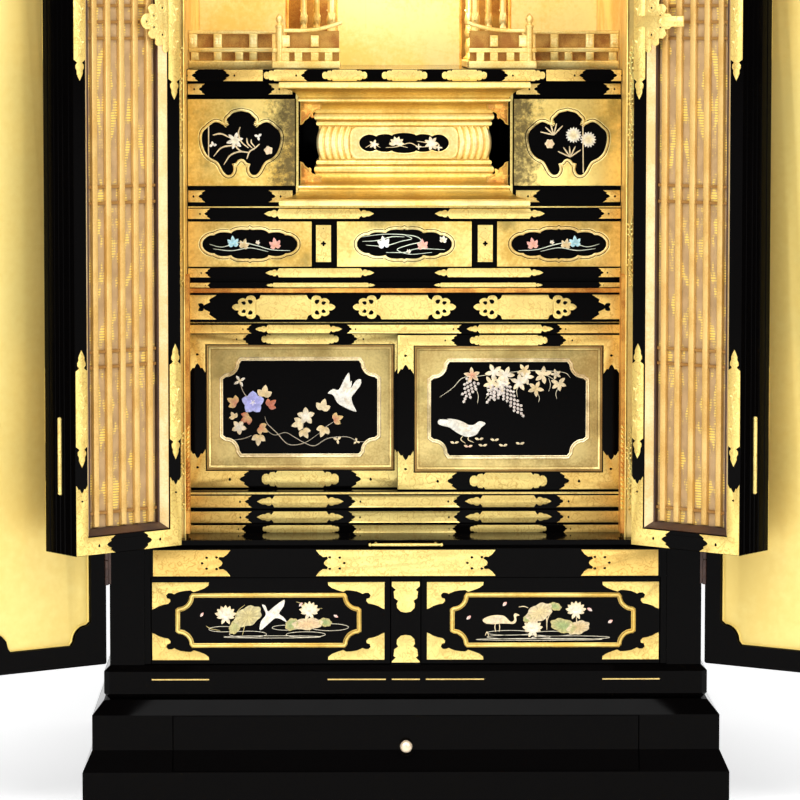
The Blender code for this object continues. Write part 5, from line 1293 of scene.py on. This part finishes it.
def build_brackets():
    """Carved brackets beside the waist: a bright rim round a field of leaves, the field gilding darkened by
    painted shade and its leaves tinted paler as painted highlight.
    """
    rims, fields = Piece("platform_bracket_rims"), Piece("platform_bracket_carving")
    face = Face((0, -0.1400, 0))
    for sign in (-1, 1):
        for level in (-1, 1):
            outline = [(sign * x, PLATFORM_MIDDLE + level * (19.5 + rise)) for x, rise in BRACKET_EDGE]
            outline += [(sign * x, PLATFORM_MIDDLE + level * 50.8) for x in (90.3, 113.9)]
            rims.ring(face, outline, [(0.1, 0.0), (0.2, 1.0), (0.7, 1.5), (1.3, 1.0), (1.5, 0.0)])
            fields.slab(face, outline, [(0.0, -7.0), (0.0, 0.0), (1.0, 0.05), (1.0, 0.35), (1.4, 0.5)])
            centre = (sign * 104.5, PLATFORM_MIDDLE + level * 37.5)
            blossom(fields, face.raised(0.45), *centre, 7.5, 6, (1.3, 1.3, 1.3), (1.6, 1.6, 1.6), 10,
                    wide=0.6)
            for heading in (70, 110, 250, 290, 180, 0):
                turn = math.radians(heading)
                base = (centre[0] + 4 * math.cos(turn), centre[1] + 5 * math.sin(turn))
                if abs(base[0]) > 93:
                    fields.petal(face.raised(0.45), base, 6.5, 3.4, heading + 20,
                                 (1.1, 1.1, 1.1), (1.4, 1.4, 1.4))
    rims.build("cabinet", GOLD, "gold_leaf")
    fields.build("cabinet", SHADED_GILT, "brown_gilt")


def build_railing(side, sign):
    """A railing: rails with eased edges, blocks with blossoms, brown boards of painted shade behind the rails
    and a post with a finial.
    """
    piece = Piece(f"railing_{side}_gilt")
    base = 798.0

    def rail(x0, x1, depth, low, tall, deep):
        """A bar between two distances from the middle, at a depth and a height above the base."""
        face = Face((0, (depth - deep / 2) * MM, 0))
        near, far = sorted((sign * x0, sign * x1))
        piece.slab(face, rectangle(near, base + low, far, base + low + tall),
                   [(0, -deep), (0, -0.9), (0.35, -0.3), (0.9, 0.0)])

    for low, tall, deep in ((0, 8.6, 9.0), (17.8, 5.0, 5.5)):
        rail(69.8, 144.0, -150, low, tall, deep)
        rail(131.8, JAMB_REACH, -118, low, tall, deep)
    rail(131.8, JAMB_REACH, -118, 37.6, 4.2, 5.0)
    path = curve([(131, 839.8), (112, 839.6), (95, 841.0), (80, 844.6), (68.4, 848.6)], 6) * (sign, 1)
    piece.tube(Face((0, -0.150, 0)).at(path), 2.3, (0, -1, 0), 10)
    for x in (82.6, 97.5, 115.3, 129.5):
        rail(x - 4.4, x + 4.4, -150, 8.4, 9.6, 6.0)
    for x in (97.5, 129.0):
        rail(x - 4.6, x + 4.6, -150, 24.0, 12.6, 5.0)
        blossom(piece, Face((0, -0.1525, 0)), sign * x, base + 30.2, 4.4, 4, (1.1, 1.15, 1.4), None, 45,
                wide=0.8)
    for x in (165, 180.5, 204, 229):
        rail(x - 4.5, x + 4.5, -118, 8.4, 9.6, 6.0)
    for x in (165, 204, 231):
        rail(x - 4.8, x + 4.8, -118, 22.6, 15.2, 4.6)
        blossom(piece, Face((0, -0.1203, 0)), sign * x, base + 30.2, 4.8, 4, (1.1, 1.15, 1.4), None, 45,
                wide=0.8)
    rail(132, 140, -134, 0, 8.6, 32)
    piece.turned((sign * 0.136, -0.150, base * MM),
                 [(4.1, 0.0), (4.1, 44.6), (4.6, 45.2), (4.6, 47.4), (3.2, 48.4), (2.5, 49.8), (3.5, 51.6),
                  (4.3, 53.6), (4.1, 55.8), (2.9, 57.8), (1.3, 59.4), (0.2, 60.3)], sides=20)
    # Painted shade: the boards behind the rails are shaded gilt, tinted darker still.
    for x0, x1, depth, high in ((71.0, 128.0, -146.5, 44.0), (144.5, 235.0, -114.5, 40.4)):
        near, far = sorted((sign * x0, sign * x1))
        piece.slab(Face((0, depth * MM, 0)), rectangle(near, base + 4, far, base + high - 2.6),
                   [(0, -2.0), (0, 0)], tint=(0.72, 0.74, 0.80), finish=1)
    piece.build("cabinet", [RAIL_GILT, SHADED_GILT], "gold_leaf", replaces=(f"railing_{side}",))


def build_columns(side, sign):
    """Round columns with wrapped and leafy feet between a base and a beam, and behind them a brown strip on
    the wall that is painted shade.
    """
    piece = Piece(f"columns_{side}_gilt")
    low, high = (corner * 1000 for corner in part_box(f"columns_{side}"))
    for z0, z1, ease in ((low.z, low.z + 8, 1.0), (high.z - 10, high.z, 0.8)):
        slab = Face((0, 0, z0 * MM), (1, 0, 0), (0, 1, 0), (0, 0, 1))
        piece.slab(slab, rectangle(low.x, low.y, high.x, high.y),
                   [(ease, 0), (0, ease), (0, z1 - z0 - ease), (ease, z1 - z0)])
    tall = high.z - low.z - 16
    for x, y, radius in ((79, -85, 4.6), (96, -40, 3.4), (110, -85, 3.4), (79, 75, 4.6)):
        at = (sign * x * MM, y * MM, (low.z + 7.5) * MM)
        piece.turned(at, [(radius * 1.5, 0), (radius * 1.6, 2.4), (radius * 1.15, 4.0), (radius, 5.0),
                          (radius, tall - 5), (radius * 1.2, tall - 4), (radius * 1.45, tall - 1),
                          (radius * 1.45, tall)], sides=20)
        turn = np.linspace(0, 7 * math.pi, 71)
        wrap = np.stack([np.cos(turn) * radius * 1.08, np.sin(turn) * radius * 1.08, 6 + turn * 2.3], 1)
        piece.tube(np.array(at) + wrap * MM, 0.9 + 0.3 * np.sin(turn * 2), (0, 0, 1), 6)
        for k in range(4):
            heading = math.radians(90 * k + 45)
            out = np.array([math.cos(heading), math.sin(heading), 0])
            leaf = Face(np.array(at) + out * radius * 1.02 * MM, (-out[1], out[0], 0), (0, 0, 1), out)
            for z, size in ((8, 16), (24, 15), (40, 14)):
                piece.petal(leaf, (0, z), size, radius * 1.5, 90, (1, 1, 1), (1.1, 1.1, 1.1), 1.3, 0.4)
    piece.build("cabinet", RAIL_GILT, "gold_leaf", replaces=(f"columns_{side}",))
    # Painted shade: a brown strip with gilt edges on the wall behind the columns, where shade falls.
    shade_strip = Piece(f"shrine_back_shade_strip_{side}")
    near, far = sorted((sign * 74.0, sign * 132.0))
    wall = front_face("shrine_back")
    shade_strip.slab(wall, rectangle(near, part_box("shrine_back")[0].z * 1000 + 1, far, high.z),
                  [(0, 0), (0, 1.4), (0.8, 2.0)], tint=(0.80, 0.80, 0.85))
    for x in (sign * 74.0, sign * 132.0):
        shade_strip.tube(wall.at([(x, low.z), (x, high.z)], 1.6), 1.6, (0, -1, 0), 8, tint=(1.5, 1.8, 2.4))
    shade_strip.build("cabinet", SHADED_GILT, "brown_gilt")


def build_jamb_carving(side, sign):
    """Two beads and lengths of leafy stem up a gilt jamb, and a moulding on its inner edge below."""
    piece = Piece(f"jamb_{side}_carving")
    strip = Piece(f"jamb_{side}_inner_moulding")
    near, far = sorted((sign * 232.6, sign * 237.2))
    arris = rectangle(near, 297, far, 577)
    # Painted light and shade: the inner moulding is gilding darkened by painted shade, and its leaves are
    # tinted paler as painted highlight.
    strip.slab(front_face(f"jamb_{side}"), arris, [(0, -26), (0, -0.6), (0.6, 0.0)], tint=(1.25, 1.2, 1.2))
    for z in np.arange(322, 414, 5.2):
        strip.petal(front_face(f"jamb_{side}"), (sign * 236.2, z), 6.2, 3.6, 90 + sign * 32, (1.5, 1.6, 1.7),
                    (1.9, 2.2, 3.0), 1.6)
    strip.build("cabinet", SHADED_GILT, "brown_gilt")
    low, high = (corner * 1000 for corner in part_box(f"jamb_{side}"))
    face = front_face(f"jamb_{side}")
    middle = sign * 243.0
    shine = (1.15, 1.2, 1.3)
    for z0, z1 in ((318, 413), (560, 640), (700, 830), (930, 1060), (1180, 1310)):
        steps = np.linspace(z0, z1, 19)
        stem = np.stack([middle + 1.4 * np.sin((steps - z0) / 6.0), steps], 1)
        piece.stroke(face, stem, 3.4, shine, 3, 0.9)
        for k, z in enumerate(np.arange(z0 + 5, z1 - 4, 5.5)):
            way = 1 if k % 2 else -1
            base = (middle + 1.4 * math.sin((z - z0) / 6.0), z)
            piece.petal(face.raised(0.5), base, 4.2, 3.4, 90 - way * 60, shine, (1.3, 1.4, 1.7), 1.8)
            piece.petal(face.raised(0.5), base, 3.8, 3.0, 90 + way * 44, shine, (1.3, 1.4, 1.7), 1.5)
    for x, radius in ((sign * 238.0, 1.2), (sign * 247.5, 0.9)):
        piece.tube(face.at([(x, low.z + 0.5), (x, high.z - 0.5)], 0.2), radius, (0, -1, 0), 8,
                   tint=(1.1, 1.1, 1.1))
    piece.build("cabinet", GILT, "brown_gilt")


# Folding doors

def door_face(joint, sign, along, out, lift=0.0):
    """The face of a leaf on its hinge line; along and out are given for the left side."""
    flip = np.array([-sign, 1, 1])
    origin = AXIS[joint] * (1, 1, 0) + np.array(out) * flip * lift * MM
    return Face(origin, np.array(along) * flip, (0, 0, 1), np.array(out) * flip)


def build_outer_leaf(side, sign, number):
    """Gold panels with ogee corners, sunk in the inner face of an outer leaf, in a fine gilt bead."""
    if number == 1:
        face = door_face(f"outer_{side}_swing", sign, (-0.8387, -0.5446, 0), (0.5446, -0.8387, 0))
        wide, body = 159.8, f"outer_{side}_first"
    else:
        face = door_face(f"outer_{side}_fold", sign, (-1, 0, 0), (0, -1, 0), 28.0)
        wide, body = 159.3, f"outer_{side}_second"
    low, high = (corner.z * 1000 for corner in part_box(f"outer_leaf_{side}_{number}"))
    outline = notched(19.9, low + 23.4, wide - 19.9, high - 23.4, 24, 15)
    piece = Piece(f"outer_leaf_{side}_{number}_gold_panel")
    piece.slab(face, outline, [(0, -4.9), (0, -4.4), (0.5, -4.2)])
    piece.ring(face, outline, [(0, -4.3), (0, -3.6), (0.5, -3.2), (1.2, -3.2), (1.6, -3.6), (1.8, -4.3)],
               tint=(1.0, 0.98, 0.9))
    piece.build(body, PANEL_GOLD, "gold_leaf")


def build_outer_hinges(side, sign):
    """Dark hinge barrels and leaves on the post, where the outer doors turn."""
    piece = Piece(f"outer_hinges_{side}")
    x, y, _ = AXIS[f"outer_{side}_swing"]
    barrel = [(1.4, 0), (2.4, 0.6), (2.4, 8.6), (2.0, 9.0), (2.4, 9.4), (2.4, 17.6), (2.0, 18.0),
              (2.4, 18.4), (2.4, 26.4), (1.4, 27)]
    for z in (247, 860, 1473):
        piece.turned((x, y, z * MM), barrel, sides=16)
    piece.turned((x, y, 0.274), [(1.4, 0), (2.4, 0.6), (2.4, 26.4), (1.4, 27)], sides=16)
    for z0, z1 in ((247, 301), (860, 887), (1473, 1500)):
        piece.slab(Face((0, y, 0)), rectangle(x / MM - sign * 4.6, z0 + 1, x / MM - sign * 0.5, z1 - 1),
                   [(0, -0.8), (0, 0.6), (0.2, 0.8)])
    piece.build("cabinet", BROWN_LACQUER, "brown_gilt")


LEAF_WIDE, LEAF_THICK, LEAF_STILE, LEAF_RAIL = 136.2, 27.5, 15.4, 19.0
# Heights of the cross bars of the lattice, in twos and threes
CROSS_BARS = (320, 337, 490, 506, 661, 678, 832, 849, 866, 1021, 1038, 1193, 1209, 1362, 1379)
# How far from a leaf's middle its upper and lower plates stand
PLATE_STEP = 400.5


def inner_leaf_frame(name, body, face, x0):
    """A lacquered frame: reeds run up its outer edges, and its front and back edges are eased."""
    low, high = (corner.z * 1000 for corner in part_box(name))
    x1 = x0 + LEAF_WIDE
    piece = Piece(f"{name}_frame")
    back = -LEAF_THICK
    piece.ring(face, rectangle(x0, low, x1, high),
               [(0.7, back), (0, back + 0.7), (0, back + 6.6), (0.8, back + 7.2), (0.8, back + 8.0),
                (0, back + 8.6), (0, -9.8), (0.8, -9.2), (0.8, -8.4), (0, -7.8), (0, -0.7), (0.7, 0),
                (LEAF_STILE - 0.6, 0), (LEAF_STILE, -0.6), (LEAF_STILE, back + 0.6),
                (LEAF_STILE - 0.6, back)])
    for z0, z1 in ((low + 15.0, low + LEAF_RAIL), (high - LEAF_RAIL, high - 15.0)):
        piece.slab(face, rectangle(x0 + 15.2, z0, x1 - 15.2, z1), [(0, back + 0.1), (0, -0.1)])
    piece.build(body, LACQUER, "black_lacquer", replaces=(name,))
    return x1, low, high


def inner_leaf_lattice(name, body, face, x0, low, high):
    """Sloped mouldings on both faces, ribs through the gauze, and cross bars behind the ribs."""
    left, right = x0 + LEAF_STILE + 0.2, x0 + LEAF_WIDE - LEAF_STILE - 0.2
    bottom, top = low + LEAF_RAIL + 0.2, high - LEAF_RAIL - 0.2
    middle = -LEAF_THICK / 2
    slope = np.array([(0, -12.9), (0, 12.3), (0.7, 12.9), (1.4, 12.2), (6.4, 5.8), (6.9, 5.0), (6.9, -5.0),
                      (6.4, -5.8), (1.4, -12.2), (0.7, -12.9)])
    piece = Piece(f"{name}_ribs")
    corners = rectangle(left, bottom, right, top)
    for k in range(4):
        start, stop = corners[k], corners[(k + 1) % 4]
        ahead = (stop - start) / np.linalg.norm(stop - start)
        inward = np.array([-ahead[1], ahead[0]])
        ends = [face.at(end + slope[:, :1] * (inward + way * ahead), middle + slope[:, 1])
                for end, way in ((start, 1), (stop, -1))]
        upright_side = k % 2 == 1
        piece.loft(ends, tint=(1.12, 1.25, 1.9) if upright_side else (1, 1, 1),
                   finish=0 if upright_side else 1)
    core = face.raised(middle)
    both_ways = [Face(core.origin, core.axes[0], core.axes[1], core.axes[2] * way) for way in (-1, 1)]
    for x in (left + 7.9, right - 7.9):
        piece.slab(core, rectangle(x - 1.0, bottom + 7, x + 1.0, top - 7), [(0, -5.2), (0, 5.2)], finish=1)
    pitch = (right - left) / 6
    for k in range(1, 6):
        x = left + k * pitch
        for facing in both_ways:
            piece.slab(facing, rectangle(x - 3.4, bottom + 8, x + 3.4, top - 8),
                       [(0, 0.3), (0, 4.2), (0.5, 4.9), (1.1, 5.1)], tint=(1.0, 0.97, 0.95))
    for z in CROSS_BARS:
        for facing in both_ways:
            piece.slab(facing, rectangle(left + 8, z - 1.6, right - 8, z + 1.6),
                       [(0, 0.3), (0, 2.6), (0.4, 3.0)], tint=(0.50, 0.38, 0.26))
    ribs = piece.build(body, [RIB, BROWN_LACQUER], "gold_leaf", replaces=(f"{name}_lattice",))
    gauze = woven_panel(f"{name}_gauze", face, left + 6, right - 6, bottom + 6, top - 6, middle)
    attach(gauze, body)


def woven_panel(name, face, x0, x1, z0, z1, height):
    """Stretched gauze: a thin two-sided grid that bellies by a tenth of a millimetre, with a UV in mm."""
    u, v = np.meshgrid(np.linspace(0, 1, 7), np.linspace(0, 1, 41), indexing="ij")
    flat = np.stack([x0 + (x1 - x0) * u, z0 + (z1 - z0) * v], -1)
    belly = 0.1 * np.sin(math.pi * u) * np.sin(9 * math.pi * v)
    sides = [face.at(flat, height + belly + way * 0.12).reshape(-1, 3) for way in (-1, 1)]
    index = np.arange(u.size).reshape(u.shape)
    back = np.stack([index[:-1, :-1], index[:-1, 1:], index[1:, 1:], index[1:, :-1]], -1).reshape(-1, 4)
    front = back[:, ::-1] + u.size
    rim = np.concatenate([index[:-1, 0], index[-1, :-1], index[:0:-1, -1], index[0, :0:-1]])
    rim_next = np.roll(rim, -1)
    edge = np.stack([rim, rim_next, rim_next + u.size, rim + u.size], -1)
    quads = np.concatenate([back, front, edge])
    points = np.concatenate(sides)
    centre = points.mean(0)
    a, b, c, d = (points[quads[:, k]] - centre for k in range(4))
    if np.einsum("ij,ij->", a, np.cross(b, c) + np.cross(c, d)) < 0:
        quads = quads[:, ::-1]
    mesh = bpy.data.meshes.new(name)
    mesh.from_pydata(points.tolist(), [], quads.tolist())
    cloth = mesh.uv_layers.new(name="cloth")
    where = np.concatenate([flat.reshape(-1, 2)] * 2)[quads.reshape(-1)]
    cloth.data.foreach_set("uv", where.ravel())
    mesh.materials.append(GAUZE)
    mesh.shade_smooth()
    mesh.set_sharp_from_angle(angle=math.radians(38))
    obj = bpy.data.objects.new(name, mesh)
    bpy.context.scene.collection.objects.link(obj)
    return obj


def build_inner_leaf(side, sign, letter):
    """An inner leaf: frame, ribs and gauze; b stands in front with its fittings."""
    name = f"inner_leaf_{side}_{letter}"
    body = f"inner_{side}_{'first' if letter == 'a' else 'second'}"
    if letter == "a":
        face = door_face(f"inner_{side}_swing", sign, (-0.7771, -0.6293, 0), (-0.6293, 0.7771, 0))
        x0 = 0.0
    else:
        face = door_face(f"inner_{side}_fold", sign, (0.7771, 0.6293, 0), (0.6293, -0.7771, 0), 27.8)
        x0 = 0.25
    x1, low, high = inner_leaf_frame(name, body, face, x0)
    inner_leaf_lattice(name, body, face, x0, low, high)
    middle = (low + high) / 2
    piece = Piece(f"{name}_fittings")
    hinge_side, free_side = (x0 + 0.5, x0 + 14.9), (x1 - 14.9, x1 - 0.5)
    if letter == "a":
        hinge_side, free_side = free_side, hinge_side
    bright = (1, 0.98, 0.9)
    post_plate(piece, face, *hinge_side, middle - 61, middle + 61, "spear", "spear", bright)
    post_plate(piece, face, *free_side, middle - 82, middle + 82, "spear", "spear", bright)
    for x_pair in (hinge_side, free_side):
        for z in (middle - PLATE_STEP, middle + PLATE_STEP):
            post_plate(piece, face, *x_pair, z - 61, z + 61, "spear", "spear", bright)
    for x, along in ((x0 + 0.5, 1), (x1 - 0.5, -1)):
        for z, up in ((low + 0.5, 1), (high - 0.5, -1)):
            corner_plate(piece, face, (x, z), 49, 73.5, 14.4, 18, (along, up), bright)
    if letter == "b":
        arabesque(piece, face, x1 - 14.9, middle, -1, side == "right")
        for x, spread in ((sum(free_side) / 2, 5.0), (sum(hinge_side) / 2, 4.4)):
            for z in (middle - PLATE_STEP, middle, middle + PLATE_STEP):
                relief_scrolls(piece, face.raised(0.9), x, z, spread, 34)
    piece.build(body, [PLATE, LACQUER], "gold_plate")


# Raised scrolls catch a little more light than their plate
RELIEF_TINT = (1.05, 1.05, 1.1)


def relief_scrolls(piece, face, x, z, spread, reach):
    """A waving stem with curls, in low relief on a tall plate."""
    steps = np.linspace(-reach, reach, 13)
    stem = np.stack([x + 0.55 * spread * np.sin(steps / 5.2), z + steps], 1)
    piece.stroke(face, stem, 1.3, RELIEF_TINT, 3, 0.1)
    for k, step in enumerate(steps[1:-1]):
        way = 1 if k % 2 else -1
        piece.petal(face, (x + 0.55 * spread * math.sin(step / 5.2), z + step), spread, spread * 0.5,
                    90 - way * 55, RELIEF_TINT, lift=0.6)


def arabesque(piece, face, x, z, way, latch):
    """The openwork plate by the latch: a lobed ground with spiral stems, and on one door the bolt."""
    half = np.array([(0, 31), (-4, 33), (-8, 29), (-7, 24), (-12, 26), (-17, 23.5), (-17, 18), (-22, 18),
                     (-26.5, 13.5), (-24.5, 8.5), (-30, 8), (-34.5, 3.5), (-35.5, 0)])
    half = curve(half, 3)
    outline = np.concatenate([half, (half * (1, -1))[::-1][1:]]) * (-way, 1) + (x, z)
    piece.plate(face.raised(-0.4), outline, 1.3)
    for cx, cz, radius, start in ((-8, 14, 7.0, 90), (-8, -14, 7.0, -90), (-19, 6, 6.0, 150),
                                  (-19, -6, 6.0, -150), (-28, 0, 5.0, 180)):
        turn = np.radians(start) + np.linspace(0, 3.4 * math.pi, 26) * (1 if cz >= 0 else -1)
        shrink = np.linspace(1, 0.16, 26)
        spiral = np.stack([cx + radius * shrink * np.cos(turn), cz + radius * shrink * np.sin(turn)], 1)
        piece.stroke(face.raised(0.9), spiral * (-way, 1) + (x, z), 1.7, RELIEF_TINT, 2, 0.2)
        drop(piece, face, cx * -way + x, cz + z, 1.3, 90, 0.92)
    if latch:
        piece.slab(face.raised(0.9), rectangle(x - 49, z - 5.6, x + 12, z + 5.6),
                   [(0, 0), (0, 1.1), (0.8, 1.7)])
        knob = [(3.4, 0), (3.4, 0.5), (2.4, 0.8), (2.8, 1.2), (2.2, 1.7), (0.5, 1.9)]
        piece.turned(face.at((x - 20, z), 2.5), knob, up=face.axes[2], sides=16)


def build_inner_hinges(side):
    """Slender gilt hinge barrels on the fold between two inner leaves."""
    piece = Piece(f"inner_fold_hinges_{side}")
    x, y, _ = AXIS[f"inner_{side}_fold"]
    barrel = [(0.8, 0), (2.2, 0.8), (2.6, 2.0), (2.2, 3.4), (2.4, 4.4), (2.4, 40), (2.1, 40.6), (2.4, 41.2),
              (2.4, 77), (2.2, 78), (2.6, 79.4), (2.2, 80.8), (0.8, 81.6)]
    for z in (357.5, 1260.5):
        piece.turned((x, y, z * MM), barrel, sides=16)
    piece.build(f"inner_{side}_second", PLATE, "gold_plate")


# Build

build_stage()
wear(frame["nodes"], LACQUER)
wear(["jamb_left", "jamb_right", "inner_wall_left", "inner_wall_right"], WALL_GILT)
wear(["shrine_back", "shrine_canopy", "transom"], BACK_GOLD)
build_lower_fittings()
build_tray_handle()
build_plinth_knob()
build_cupboard_rails()
build_medallions()
build_middle_fittings()
build_platform()
build_brackets()
for part in ("left", "centre", "right"):
    build_small_drawer(part)
for side, sign in SIDES:
    build_lower_drawer(side, sign)
    build_cupboard_door(side)
    build_side_drawer(side)
    build_railing(side, sign)
    build_columns(side, sign)
    build_jamb_carving(side, sign)
    build_outer_leaf(side, sign, 1)
    build_outer_leaf(side, sign, 2)
    build_outer_hinges(side, sign)
    build_inner_leaf(side, sign, "a")
    build_inner_leaf(side, sign, "b")
    build_inner_hinges(side)
